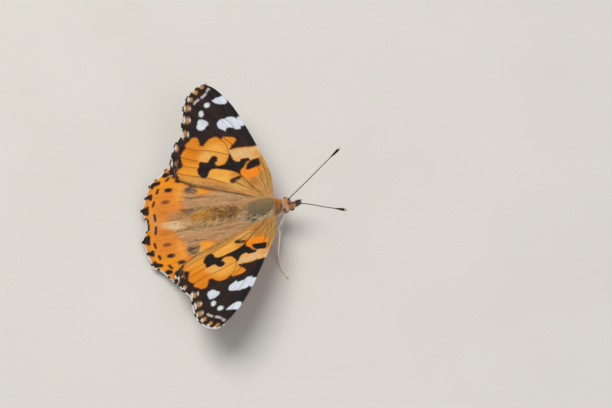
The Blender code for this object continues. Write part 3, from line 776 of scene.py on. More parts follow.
def paint_hind_upper(points, u, v, side):
    """Colours of the upper side of a hindwing, laid from back to front."""
    rough = 0.09 * mottle(points[:, 0] * 3.3, points[:, 1] * 3.3, 23.0)
    ragged = 0.06 * mottle(u * 60, v * 16, 24.0)
    spots = points + np.column_stack([rough, ragged - rough])
    line = streaks(u, v, 21.0)
    field = patch(spots, HIND_ORANGE, 0.45)
    if side == LEFT:                  # less of this wing's orange is under hair
        field = np.maximum(field, oval(spots, (1.0, -20.6), 1.5, 1.6, 0.7))
    field = np.maximum(field, 0.8 * oval(spots, (-2.0, -25.2), 1.6, 2.0, 1.2))
    paint = hindwing_inner(spots, line, side)
    paint = paint + field[:, None] * (hindwing_outer(spots, line) - paint)
    paint = hindwing_marks(paint, spots)
    thin = np.clip(1.2 - vein_distance(points, HIND_VEINS) / 0.12, 0, 1)
    paint = lay(paint, 0.35 * thin * field * np.clip(3 * paint[:, 0], 0, 1), "#B25E12")
    if side == RIGHT:                 # its margin curls up; a painted highlight lies where light falls on the roll
        paint = lay(paint, 0.8 * stroke(points, [(-2.9, -18.0), (-2.9, -26.0)], 0.4, 0.5), "#B27A44")
        # painted highlight on the curled roll, fading towards the tail
        fade = np.clip((points[:, 1] + 26.2) / 4.0, 0, 1)
        paint = lay(paint, 0.9 * stroke(points, CURL_HIGHLIGHT_LINE, 0.75, 0.5) * fade, "#E6C698")
    return np.clip(paint * (1 + 0.08 * line)[:, None], 0, 1)


centre_paint = paint_hind_upper(fan_points(HINDWING, half, half), half, half, LEFT)
print("a hindwing's middle is painted", centre_paint.round(2))

# %% [markdown]
# The undersides don't show from the camera, so they follow the species. The forewing
# is a paler print of its upper side, pinkish towards the root and olive at the tip, so
# it is painted over that. The hindwing is quite unlike its upper side: marbled olive
# and cream along white veins, with eyespots. Noise does the marbling, as it has no form.

# %% Undersides
EYESPOTS = [
    ((10.6, -19.6), 0.70), ((8.7, -22.0), 0.95), ((6.1, -23.4), 0.75), ((3.2, -24.4), 0.80),
    ((0.2, -24.8), 0.95),
]
CREAM_BAND = [(13.0, -17.0), (9.0, -19.5), (4.0, -21.6), (-1.5, -22.4)]
GREY_BAND = [(12.6, -21.0), (8.5, -24.4), (3.0, -27.2), (-2.0, -27.0)]


def paint_fore_under(points, u, v, side):
    """Colours of the underside of a forewing."""
    paint = paint_fore_upper(points, u, v, side)
    line = streaks(u, v, 31.0)
    field = patch(points, ORANGE_FIELD, 0.3)
    paint = lay(paint, 0.65 * field * patch(points, BASE_ZONE, 1.5), "#E09A6E")
    paint = lay(paint, 0.45 * oval(points, (8.0, -6.0), 8.0, 5.0, 3.0) * field, "#EE9C72")
    tip = oval(points, (27.0, -13.5), 6.5, 5.5, 2.0)
    paint = lay(paint, 0.85 * tip * (0.8 + 0.3 * line), "#A89272")
    for centre in ((24.2, -9.8), (23.4, -12.6), (21.6, -14.2)):
        paint = lay(paint, oval(points, centre, 0.7, 0.7, 0.25), "#EDE8DC")
    veins = vein_distance(points, FORE_VEINS)
    return lay(paint, 0.6 * np.clip(1.3 - veins / 0.10, 0, 1) * tip, "#E7DDC6")


def paint_hind_under(points, u, v, side):
    """Colours of the underside of a hindwing."""
    line = streaks(u, v, 41.0)
    cloud = mottle(points[:, 0] * 0.42, points[:, 1] * 0.42, 43.0)
    islands = mottle(points[:, 0] * 0.95, points[:, 1] * 0.95, 47.0)
    paint = np.tile(linear("#A58E69"), (len(points), 1))
    paint = lay(paint, 0.5 + 1.5 * cloud, "#7C6749")
    paint = lay(paint, np.clip(5 * (islands - 0.12), 0, 1), "#EADFC9")
    paint = lay(paint, np.clip(5 * (-islands - 0.30), 0, 1), "#5B4933")
    paint = lay(paint, stroke(points, CREAM_BAND, 0.35, 0.4), "#EFE6D4")
    paint = lay(paint, 0.8 * stroke(points, GREY_BAND, 0.30, 0.3), "#AEB4C4")
    for centre, size in EYESPOTS:
        paint = lay(paint, oval(points, centre, size, size, 0.15), "#4C3B28")
        paint = lay(paint, oval(points, centre, 0.8 * size, 0.8 * size, 0.12), "#D3B06A")
        paint = lay(paint, oval(points, centre, 0.5 * size, 0.5 * size, 0.12), "#221B18")
        paint = lay(paint, oval(points, centre, 0.22 * size, 0.22 * size, 0.10), "#7FA0C0")
    veins = vein_distance(points, HIND_VEINS)
    paint = lay(paint, 0.85 * np.clip(1.4 - veins / 0.13, 0, 1), "#EFE7D6")
    return np.clip(paint * (1 + 0.10 * line)[:, None], 0, 1)


print("hindwing has", len(EYESPOTS), "eyespots below")

# %% [markdown]
# Relief of a wing. The membrane is a tenth of a millimetre thick, and the veins swell
# to three times that on both faces. Between veins the sheet sags a little, as a tent
# does between poles, more so towards the margin. Sculpting could give the same, but a
# height that follows from the veins stays right when one of them is moved.

# %% Relief of a wing
MEMBRANE_HALF = 0.05
VEIN_SWELL = 0.09
VEIN_REACH = 0.17
SAG = 0.16
WING_FORMS = {
    "forewing": {"shape": FOREWING, "veins": FORE_VEINS, "cells": (140, 200), "camber": 0.25,
                 "height": 0.08, "upper": paint_fore_upper, "under": paint_fore_under},
    "hindwing": {"shape": HINDWING, "veins": HIND_VEINS, "cells": (120, 180), "camber": 0.0,
                 "height": -0.60, "upper": paint_hind_upper, "under": paint_hind_under},
}


def relief(points, form):
    """Height of the middle of the sheet and half its thickness, point by point."""
    near = vein_distance(points, form["veins"])
    outward = np.clip(np.linalg.norm(points, axis=1) / 22, 0, 1)
    a, b = points.T
    bow = form["camber"] * (1 - ((a - 13) / 15) ** 2 - ((b + 9.5) / 11) ** 2)
    sag = -SAG * outward * (1 - np.exp(-(near / 0.75) ** 2))
    swell = VEIN_SWELL * np.exp(-(near / VEIN_REACH) ** 2)
    root = 0.16 * np.clip(1 - a / 2.5, 0, 1)
    return bow + sag, MEMBRANE_HALF + swell * (1.2 - 0.6 * outward) + root


_, on_vein = relief(np.array([FORE_VEINS["radius"][2]]), WING_FORMS["forewing"])
print("forewing is", (2 * on_vein).round(2), "mm thick at a vein")

# %% [markdown]
# Setting a wing. Each wing turns about its root by three angles: dihedral lifts its
# tip, pitch lifts its rear, and sweep swings it back. Objects could be turned instead,
# but a finished piece has to lie in its mesh, so the points are turned. Behind the
# abdomen the hindwings meet, and the right one's inner margin curls up over the left's.

# %% Setting a wing
WING_HINGE_Y = 2.57
MIDLINE_LAP = 0.30        # how far each hindwing passes the midline behind the abdomen
LAP_START = -15.5         # where the lap starts behind the abdomen
INNER_LIFT = 0.75         # how high the right one's inner margin curls up
WING_TURNS = {
    ("forewing", LEFT): (16.0, -13.7, 1.9), ("forewing", RIGHT): (17.2, -16.1, 0.9),
    ("hindwing", LEFT): (1.8, -9.2, -0.2), ("hindwing", RIGHT): (0.4, -10.4, 0.8),
}


def on_wing(kind, side, points, lift):
    """Place from the hinge point, in millimetres, of points at a height over the flat wing."""
    dihedral, pitch, sweep = (math.radians(angle) for angle in WING_TURNS[kind, side])
    turn = np.array(Matrix.Rotation(dihedral, 3, "X") @ Matrix.Rotation(pitch, 3, "Y")
                    @ Matrix.Rotation(sweep, 3, "Z"))
    flat = np.column_stack([points[:, 1], points[:, 0], lift])
    placed = flat @ turn.T
    placed[:, 1] += WING_HINGE_Y
    placed[:, 2] += WING_FORMS[kind]["height"]
    tail = np.clip((LAP_START - placed[:, 0]) / 3, 0, 1)
    placed[:, 1] = np.where(tail > 0, np.maximum(placed[:, 1], -MIDLINE_LAP), placed[:, 1])
    if kind == "hindwing" and side == RIGHT:
        placed[:, 2] += INNER_LIFT * tail * np.clip(1 - placed[:, 1] / 4.0, 0, 1) ** 2
    placed[:, 1] *= side
    return placed


tip = np.array([FOREWING["leading"][-1]])
print("left forewing's tip is at", on_wing("forewing", LEFT, tip, np.zeros(1)).round(1), "mm")

# %% [markdown]
# Building a wing. A flat grid is bent onto the outline, extruded once so that it has
# an under side, and then given its shape. A Solidify modifier would give every point
# one thickness, where here the veins are thicker than the sheet. The unwrap is the
# flat wing itself at one scale, so that its markings aren't stretched when baked.

# %% Build a wing
WING_CHART = 1 / 70       # how much of the unwrap one millimetre of wing takes
CHART_CORNER = (4, 32)    # how far the wings reach past (0, 0) on the unwrap
RIM_CHART = 0.25          # how wide a strip of the unwrap the thin rim takes


def wing_chart(points):
    """Places on the unwrap of points of the upper side."""
    return (points + CHART_CORNER) * WING_CHART


def unwrap_wing(build, points, above):
    """Lay the upper side and the underside out side by side, with the rim round the first."""
    away = points - points.mean(axis=0)
    away /= np.linalg.norm(away, axis=1)[:, None]
    top, under = wing_chart(points), wing_chart(points) + (0.5, 0)
    rim = wing_chart(points + RIM_CHART * away)
    chart = build.loops.layers.uv.new("OFBake")
    for made in build.faces:
        marks = [loop.vert.index for loop in made.loops]
        low = rim if len({above[i] for i in marks}) > 1 else under
        for loop, i in zip(made.loops, marks):
            loop[chart].uv = top[i] if above[i] else low[i]


def build_wing(kind, side, name):
    """One closed wing, shaped, painted on both sides and unwrapped."""
    form = WING_FORMS[kind]
    build = bmesh.new()
    bmesh.ops.create_grid(build, x_segments=form["cells"][0], y_segments=form["cells"][1], size=0.5)
    grown = bmesh.ops.extrude_face_region(build, geom=build.faces[:], use_keep_orig=True)
    build.verts.index_update()
    upper = {made.index for made in grown["geom"] if isinstance(made, bmesh.types.BMVert)}
    grid = np.array([point.co for point in build.verts])
    above = np.array([i in upper for i in range(len(grid))])
    u, v = grid[:, 0] + 0.5, grid[:, 1] + 0.5
    points = fan_points(form["shape"], u, v)
    middle, half_thick = relief(points, form)
    places = on_wing(kind, side, points, middle + np.where(above, 1, -1) * half_thick)
    for point, place in zip(build.verts, in_frame(places)):
        point.co = place
    colours = np.ones((len(grid), 4))
    for face, paint in ((above, form["upper"]), (~above, form["under"])):
        colours[face, :3] = paint(points[face], u[face], v[face], side)
    unwrap_wing(build, points, above)
    bmesh.ops.recalc_face_normals(build, faces=build.faces[:])
    mesh = bpy.data.meshes.new(name)
    build.to_mesh(mesh)
    build.free()
    mesh.attributes.new("scales", "FLOAT_COLOR", "POINT").data.foreach_set("color", colours.ravel())
    mesh.shade_smooth()
    return shown(name, mesh)


print("the unwrap of a wing is", round(1 / WING_CHART), "mm across")

# %% [markdown]
# Finish of the scaled parts. A wing gets its matt, powdery look from rows of flat
# scales, each about a tenth of a millimetre long. A bitmap of scales would need far
# more detail than the render shows, so noise stands for them, twice as coarse as they
# are on the wings. It varies the tone, and a bump tilts the surface. A weak sheen
# lightens it where it turns away, as the ribs of the scales do.

# %% Painted finishes
def painted_finish(name, roughness, sheen, specular, grain, darkest):
    """Finish with the colours of the mesh, varied by grains of a size in millimetres."""
    made, tree, shader = new_finish(name, roughness, sheen=sheen, specular=specular)
    paint = add(tree, "ShaderNodeAttribute", attribute_name="scales")
    place = add(tree, "ShaderNodeTexCoord")
    grains = add(tree, "ShaderNodeTexNoise", {
        "Vector": place.outputs["Object"], "Scale": 1 / (grain * MM), "Detail": 2.0})
    tone = add(tree, "ShaderNodeMapRange", {
        "Value": grains.outputs["Fac"], "From Min": 0.3, "From Max": 0.7, "To Min": darkest,
        "To Max": 1.12})
    toned = add(tree, "ShaderNodeVectorMath", {
        0: paint.outputs["Color"], "Scale": tone.outputs["Result"]}, operation="SCALE")
    tree.links.new(toned.outputs["Vector"], shader.inputs["Base Color"])
    return made, tree, shader, place, grains


# Chitin scales laid like tiles: matt, with a ribbed grain and the faintest sheen
SCALE_ROW = 0.2           # millimetres from one row of scales to the next
wing_finish, tree, shader, place, _ = painted_finish(
    "scaled wing membrane", 0.65, 0.04, 0.16, SCALE_ROW, 0.86)
rows = add(tree, "ShaderNodeTexVoronoi", {
    "Vector": place.outputs["Object"], "Scale": 1 / (SCALE_ROW * MM)})
bump = add(tree, "ShaderNodeBump", {
    "Height": rows.outputs["Distance"], "Strength": 0.35, "Distance": 0.03 * MM})
tree.links.new(bump.outputs["Normal"], shader.inputs["Normal"])
print(wing_finish.name, "has", len(tree.nodes), "nodes")

# %% [markdown]
# The four wings. Each replaces its solid, which has the same outline but is thick
# enough to be made, and keeps the solid's place. A real wing is glued to a model by
# its root; here the roots run under the hair of the thorax, as they do in life.

# %% The four wings
def dress(piece, finish_made, nodes=()):
    """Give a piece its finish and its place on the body."""
    piece.data.materials.append(finish_made)
    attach(piece, "root")
    if nodes:
        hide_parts(*nodes)
    print(piece.name, "has", len(piece.data.polygons), "faces")


SIDE_WORDS = {LEFT: "left", RIGHT: "right"}
for kind, side in WING_TURNS:
    node = kind + "_" + SIDE_WORDS[side]
    dress(build_wing(kind, side, node + "_scaled"), wing_finish, (node,))

# %% [markdown]
# Closed skins. The body, feelers and legs are all long round forms. A bevelled curve
# makes a tube, but it can't be painted point by point. So each is a grid whose long
# sides meet in a seam, which is welded, and whose two ends draw together to a point.
# One function does that, and others give the places along a bent path.

# %% Closed skins
WELD = 0.0002             # millimetres within which points of the seam are welded
CHART_EDGE = 0.02         # free edge left round each unwrap
CHART_SPAN = 1 - 2 * CHART_EDGE


def wrapped_skin(name, cells, place, paint):
    """Grid bent to a closed skin: u runs round it and v along it."""
    build = bmesh.new()
    bmesh.ops.create_grid(build, x_segments=cells[0], y_segments=cells[1], size=0.5)
    grid = np.array([point.co for point in build.verts])
    u, v = grid[:, 0] + 0.5, grid[:, 1] + 0.5
    chart = build.loops.layers.uv.new("OFBake")
    for made in build.faces:
        for loop in made.loops:
            i = loop.vert.index
            loop[chart].uv = (CHART_EDGE + CHART_SPAN * u[i], CHART_EDGE + CHART_SPAN * v[i])
    colours = build.verts.layers.float_color.new("scales")
    places = in_frame(place(u, v))
    for point, spot, colour in zip(build.verts, places, paint(u, v)):
        point.co = spot
        point[colours] = (*colour, 1.0)
    bmesh.ops.remove_doubles(build, verts=build.verts, dist=WELD * MM)
    bmesh.ops.recalc_face_normals(build, faces=build.faces)
    mesh = bpy.data.meshes.new(name)
    build.to_mesh(mesh)
    build.free()
    mesh.shade_smooth()
    return shown(name, mesh)


def unit(vectors):
    """The same directions, one long."""
    return vectors / np.maximum(np.linalg.norm(vectors, axis=1), 1e-9)[:, None]


def round_path(path, u, v, steps=240, level=None):
    """Places on a smooth path, its direction there, and the way out at u turns round it."""
    line = smooth_line(path, steps)
    t = np.linspace(0, 1, len(line))
    middle = np.column_stack([np.interp(v, t, column) for column in line.T])
    ahead = unit(np.column_stack([np.interp(v, t, column) for column in np.gradient(line, axis=0).T]))
    across = unit(np.cross(ahead, (0.0, 0.0, 1.0))) if level is None else np.tile(level, (len(v), 1))
    turn = 2 * np.pi * u[:, None]
    return middle, ahead, np.cos(turn) * across + np.sin(turn) * np.cross(across, ahead)


def open_ends(v):
    """0 at the two ends of a skin, which draw together to a point, and 1 between."""
    return np.where((v < 1e-6) | (v > 1 - 1e-6), 0.0, 1.0)


def tube_places(path, radius, **how):
    """Place function of a tube whose radius follows a function of v, closed at both ends."""
    def place(u, v):
        middle, _, out = round_path(path, u, v, **how)
        return middle + (radius(v) * open_ends(v))[:, None] * out
    return place


straight = tube_places([(0, 0, 0), (5, 0, 0), (10, 0, 0)], np.ones_like)
print("a tube of radius 1 passes through", straight(np.array([0.25]), np.array([0.5])).round(2))

# %% [markdown]
# The body. Head, thorax and abdomen are three solids with a small gap, but on the
# real insect one skin runs over them, narrow at the neck and the waist. The solids
# could be merged and smoothed, but then the skin would stand where the coat's surface
# belongs. So it is one closed skin over stations, which lies inside the solids by the
# depth of the coat. Each station is length, half width, half height and centre height.

# %% Form of the body
BODY_STATIONS = np.array([
    (-18.1, 0.05, 0.05, -3.72), (-17.8, 0.66, 0.62, -3.70), (-16.9, 1.12, 1.10, -3.56),
    (-15.0, 1.42, 1.42, -3.40), (-12.5, 1.58, 1.62, -3.15), (-10.0, 1.56, 1.62, -2.85),
    (-7.9, 1.32, 1.34, -2.50), (-6.95, 1.05, 1.05, -2.32), (-6.4, 1.30, 1.28, -2.20),
    (-5.4, 1.88, 1.60, -1.95), (-4.0, 2.20, 1.82, -1.62), (-2.4, 2.30, 1.92, -1.22),
    (-0.8, 2.22, 1.78, -0.68), (0.3, 2.00, 1.50, -0.18), (0.9, 1.62, 1.26, 0.06),
    (1.35, 1.22, 1.04, 0.22), (1.8, 1.18, 1.10, 0.36), (2.5, 1.24, 1.20, 0.42),
    (3.2, 1.16, 1.16, 0.40), (3.8, 0.86, 0.92, 0.34), (4.1, 0.45, 0.50, 0.29),
    (4.2, 0.05, 0.05, 0.28),
])
WAIST = -7.1                # where the abdomen starts
SEGMENT_LENGTH = 1.42       # of each of the eight rings of the abdomen
RING_RISE = 0.05            # how far each ring stands out
SQUARENESS = 2.4            # power of the cross-section: 2 is an ellipse, more is squarer
BODY_SPAN = (BODY_STATIONS[0, 0], BODY_STATIONS[-1, 0])


def ring_wave(x):
    """0 where two rings of the abdomen meet, 1 midway between."""
    return np.abs(np.sin(np.pi * (x - WAIST) / SEGMENT_LENGTH))


def body_places(u, v):
    """Place on the body: u goes round from the belly over the left side, v from tail to brow."""
    x = BODY_SPAN[0] + v * (BODY_SPAN[1] - BODY_SPAN[0])
    width, height, centre = (np.interp(x, BODY_STATIONS[:, 0], column)
                             for column in BODY_STATIONS[:, 1:].T)
    ring = RING_RISE * ring_wave(x) * (x < WAIST)
    side, top = np.sin(2 * np.pi * u), -np.cos(2 * np.pi * u)
    size = 1 / (np.abs(side) ** SQUARENESS + np.abs(top) ** SQUARENESS) ** (1 / SQUARENESS)
    size = size * open_ends(v)
    return np.column_stack([x, (width + ring) * size * side, centre + (height + ring) * size * top])


def toward_belly(u):
    """0 along the back, 1 along the belly."""
    return np.abs(u - 0.5) * 2


print("body is", round(BODY_SPAN[1] - BODY_SPAN[0], 1), "mm long")

# %% [markdown]
# Colours of the body. The abdomen is golden at the tail and brown in front, the back is
# an olive velvet between tan hair, the collar is rusty and the head tan. Over these lie
# painted light and shade: a shadow along the abdomen's upper left side, shade in the
# hollows and on the right of the thorax and collar, and light on the velvet's left. Skin
# and hair carry the same colours, so that none shows through another. They are painted as
# the wings are, but on the body seen from above, with a paler belly.

# %% Colours of the body
ABDOMEN_TONES_AND_SHADOW = [
    (0.9, (-16.2, 0.2), 2.4, 1.6, 1.0, "#D6A440"), (0.7, (-9.2, 0.3), 3.4, 1.1, 1.2, "#86603E"),
    # the third: painted shadow along the abdomen's upper left side, by the left hindwing
    (0.9, (-13.5, 1.45), 6.0, 0.50, 0.4, "#664628"),
]
# Bands across neck and head, from the collar forwards: where each starts and stops
COLLAR_BANDS = [
    (0.45, 0.90, "#B08E78"), (0.85, 1.60, "#BE6A12"), (1.55, 1.95, "#CC883A"),
    (1.90, 2.10, "#93683A"), (2.05, 2.28, "#463422"), (2.24, 2.52, "#CDBDA6"),
]
COLLAR_SHADE_WASHES = [
    # painted shade: on the right of the collar beside the shoulder flap, and in the hollow behind the
    # right eye
    (0.8, (1.3, -1.6), 0.7, 0.9, 0.4, "#8E6C4C"), (0.9, (2.1, -0.6), 0.22, 0.50, 0.15, "#2E241A"),
]


def band(x, start, stop, soft=0.12):
    """1 between two places along the body, with soft ends inside them."""
    return np.clip((x - start) / soft, 0, 1) * np.clip((stop - x) / soft, 0, 1)


def velvet_cover(above, around):
    """Where the short dense velvet covers the back of the thorax."""
    return oval(above, (-2.35, 0.0), 3.3, 1.85, 0.35) * (around < 0.6)


def abdomen_paint(x, above, around, cloud):
    """Golden rings with brown joints, a pale belly, and a painted shadow along the upper left side."""
    paint = np.tile(linear("#BA8A42"), (len(x), 1))
    paint = lay(paint, 0.6 * (ring_wave(x) < 0.35), "#7C5424")
    paint = wash(lay(paint, 0.7 * cloud, "#A07034"), above, ABDOMEN_TONES_AND_SHADOW)
    paint = lay(paint, np.clip((around - 0.40) * 5, 0, 1), "#D2B68A")
    return lay(paint, np.clip((around - 0.72) * 5, 0, 1), "#DCCBAE")


def thorax_paint(above, around):
    """Olive velvet on the back, tan hair round it and grey below, with painted shade in the hollows of
    the right flank, and painted shade and light on the velvet's right and left.
    """
    paint = np.tile(linear("#C79D66"), (len(above), 1))
    # painted shade in the hollows of the hair on the right rear of the thorax
    paint = lay(paint, 0.9 * oval(above, (-3.4, -1.9), 2.4, 0.6, 0.4), "#4E4A36")
    velvet = velvet_cover(above, around)
    paint = lay(paint, velvet, "#826C4A")
    # painted shade on the velvet's right side, and painted light on its front left
    paint = lay(paint, velvet * np.clip(0.3 - 0.7 * above[:, 1], 0, 1), "#6F6146")
    paint = lay(paint, 0.6 * velvet * oval(above, (-1.2, 1.2), 1.8, 0.6, 0.6), "#907A52")
    return lay(paint, np.clip((around - 0.66) * 5, 0, 1), "#B9AB93")


def head_paint(paint, x, above, around, cloud):
    """Rusty collar, dark neck, and tan head with a pale rim behind each eye, with painted shade on the
    right of the collar and behind the right eye.
    """
    for start, stop, tint in COLLAR_BANDS:
        paint = lay(paint, band(x, start, stop) * (around < 0.75), tint)
    paint = wash(paint, above, COLLAR_SHADE_WASHES)
    paint = lay(paint, band(x, 2.15, 2.75) * (around > 0.45) * (around < 0.75), "#DED6CC")
    crown = np.clip((x - 2.5) / 0.15, 0, 1)
    paint = lay(paint, crown, "#E4AC7C")
    paint = lay(paint, 0.8 * crown * np.clip(1.5 * cloud, 0, 1), "#9A6236")
    paint = lay(paint, 0.8 * oval(above, (3.48, 0.0), 0.14, 1.1, 0.12), "#6E3C1A")
    return lay(paint, crown * np.clip((around - 0.55) * 5, 0, 1), "#B7A58C")


def body_paint(u, v):
    """Colours of skin and coat of the whole body."""
    above = body_places(u, v)[:, :2]
    x = above[:, 0]
    around = toward_belly(u)
    cloud = mottle(x * 0.8, u * 9, 61.0)
    paint = abdomen_paint(x, above, around, cloud)
    front = np.clip((x + 7.4) / 0.8, 0, 1)[:, None]
    paint = paint + front * (thorax_paint(above, around) - paint)
    return head_paint(paint, x, above, around, cloud)


print("the back is painted", body_paint(half, np.array([0.7])).round(2))

# %% [markdown]
# The skin is chitin under down. It shows only as a dull ground between the hairs, so
# its finish is rough, with a little sheen for the down too fine to be modelled. The
# same finish, with other numbers, serves hair, short scales and bare horn below.

# %% Body skin
DOWN_GRAIN = 0.12         # millimetres from one clump of the finest down to the next


def coat_finish(name, roughness, sheen):
    """Soft matt finish of fine hair, its colour held by the mesh."""
    made, tree, shader, _, grains = painted_finish(name, roughness, sheen, 0.25, DOWN_GRAIN, 0.88)
    bump = add(tree, "ShaderNodeBump", {
        "Height": grains.outputs["Fac"], "Strength": 0.4, "Distance": 0.04 * MM})
    tree.links.new(bump.outputs["Normal"], shader.inputs["Normal"])
    return made


# Hardened chitin with a bloom of fine down: dull, a little light at grazing angles
skin_finish = coat_finish("downy chitin", 0.7, 0.1)
body_skin = wrapped_skin("body_skin", (64, 260), body_places, body_paint)
dress(body_skin, skin_finish, ("head", "thorax", "abdomen"))

# %% [markdown]
# Hair. A butterfly's hairs are long narrow scales. Hair curves would be lost in a
# model file, so each tuft is a solid: a curved spike of three sides that starts a
# little under the skin, rises, and lies over towards its tip. Thousands are made at
# once with arrays and kept as one mesh for each coat. Every tuft has its own small
# patch on the unwrap, at its root's place, so its colour can be baked with the coat's.

# %% Form of a tuft
TUFT_LEVELS = (0.0, 0.4, 0.75)       # places along a tuft of its three rings
TUFT_POINTS = 10                     # nine points of the rings and the tip
TUFT_FACES = [
    (3 * low + k, 3 * low + (k + 1) % 3, 3 * low + 3 + (k + 1) % 3, 3 * low + 3 + k)
    for low in (0, 1) for k in range(3)
] + [(6 + k, 6 + (k + 1) % 3, 9) for k in range(3)] + [(2, 1, 0)]
TUFT_SPOTS = np.array([(k * 0.45, t) for t in TUFT_LEVELS for k in range(3)] + [(0.45, 1.0)])
# A coat shades itself, so each hair is paler than the coat looks, and most at its tip
TUFT_TONES = (1.0, 1.0, 1.0, 1.55, 1.55, 1.55, 1.75, 1.75, 1.75, 1.85)
TUFT_PATCH = 0.003                   # size of a tuft's patch on the unwrap


def tuft_places(roots, along, out, length, width, rise, flat):
    """Places of every tuft's ten points, in millimetres from the hinge point."""
    along = unit(along)
    across = unit(np.cross(along, out))
    over = np.cross(across, along)
    sizes = (np.broadcast_to(value, len(roots))[:, None] for value in (length, width, rise))
    length, width, rise = sizes
    rings = []
    for t in TUFT_LEVELS:
        middle = roots + along * length * t + out * length * rise * (1.6 * t - 1.1 * t * t)
        middle = middle - out * width * 0.6 * (t == 0.0)
        for k in range(3):
            turn = 2 * math.pi * k / 3 + math.pi / 2
            spread = math.cos(turn) * across + flat * math.sin(turn) * over
            rings.append(middle + spread * width * 0.5 * (1 - 0.75 * t))
    rings.append(roots + along * length + out * length * rise * 0.5)
    return np.stack(rings, axis=1).reshape(-1, 3)


print("a tuft has", len(TUFT_FACES), "faces")

# %% [markdown]
# From places to a mesh. Adding a hundred thousand faces one by one takes minutes, so a
# mesh is filled from whole arrays: points, then the corner lists, then where each face
# starts. The same corner numbers then serve the unwrap.

# %% Mesh of many tufts
def tufts(name, roots, along, out, length, width, rise, colours, chart, flat=0.7):
    """Solid mesh of many tufts. Lengths are millimetres from the hinge point."""
    count = len(roots)
    mesh = bpy.data.meshes.new(name)
    mesh.vertices.add(TUFT_POINTS * count)
    places = in_frame(tuft_places(roots, along, out, length, width, rise, flat))
    mesh.vertices.foreach_set("co", places.ravel())
    corners = np.array([corner for face in TUFT_FACES for corner in face])
    every = (TUFT_POINTS * np.arange(count)[:, None] + corners).ravel()
    mesh.loops.add(len(every))
    mesh.loops.foreach_set("vertex_index", every)
    totals = np.tile([len(face) for face in TUFT_FACES], count)
    mesh.polygons.add(len(totals))
    mesh.polygons.foreach_set("loop_start", np.concatenate([[0], np.cumsum(totals)[:-1]]))
    mesh.update(calc_edges=True)
    shaded = colours[:, None, :] * np.array(TUFT_TONES)[None, :, None]
    shaded /= np.maximum(shaded.max(axis=2, keepdims=True), 1)     # keeps the hue of pale hair
    painted = np.ones((TUFT_POINTS * count, 4))
    painted[:, :3] = shaded.reshape(-1, 3)
    mesh.attributes.new("scales", "FLOAT_COLOR", "POINT").data.foreach_set("color", painted.ravel())
    on_chart = (chart[:, None, :] + TUFT_PATCH * TUFT_SPOTS[None, :, :]).reshape(-1, 2)
    mesh.uv_layers.new(name="OFBake").data.foreach_set("uv", on_chart[every].ravel())
    mesh.shade_smooth()
    print(name, "has", count, "tufts")
    return shown(name, mesh)


print("a mesh of 1000 tufts would have", 1000 * TUFT_POINTS, "points")

# %% [markdown]
# Roots of the hair. Hair grows evenly over a skin, so roots are drawn at random along
# the body, and fewer are kept where it is thin. Scattering by a node tree would do as
# well, but here each root keeps its u and v, which give its colour and its lie. One
# generator with a fixed seed makes every draw, so that each run gives the same coat.

# %% Roots on the body
draw = np.random.default_rng(7)
WIDEST = 2.4              # half width for which every drawn root is kept


def body_frame(u, v):
    """Place, outward direction and direction towards the head on the body skin."""
    step = 1e-3
    here = body_places(u, v)
    round_it = body_places(u + step, v) - body_places(u - step, v)
    ahead = unit(body_places(u, v + step) - body_places(u, v - step))
    return here, unit(np.cross(round_it, ahead)), ahead


def body_roots(count, x_from, x_to):
    """Random roots between two places along the body, even over its surface."""
    x = draw.uniform(x_from, x_to, 3 * count)
    u = draw.uniform(0, 1, 3 * count)
    girth = np.interp(x, BODY_STATIONS[:, 0], BODY_STATIONS[:, 1])
    keep = np.flatnonzero(draw.uniform(0, 1, 3 * count) < girth / WIDEST)[:count]
    v = (x - BODY_SPAN[0]) / (BODY_SPAN[1] - BODY_SPAN[0])
    return u[keep], v[keep], x[keep]


def speckled(colours, spread):
    """The same colours, each tuft a little lighter or darker than its neighbour."""
    return colours * np.maximum(1 + spread * draw.normal(size=(len(colours), 1)), 0.2)


def body_chart(u, v):
    """Place on the unwrap of a root, with room for its patch at the far edges."""
    return np.column_stack([CHART_EDGE + 0.955 * u, CHART_EDGE + 0.955 * v])


print("roots would thin to", round(BODY_STATIONS[7, 1] / WIDEST, 2), "of all at the waist")

# %% [markdown]
# Hair of the abdomen. It lies rearwards in eight overlapping bands, one to each ring,
# and parts into locks that lean and shade together. Golden hairs gather towards the
# tail, brown ones towards the waist, and long pale ones hang over its right side.

# %% Abdomen coat
# Hair-like chitin scales: matt, with a rim of light where they stand on edge
fur_finish = coat_finish("golden down", 0.6, 0.25)


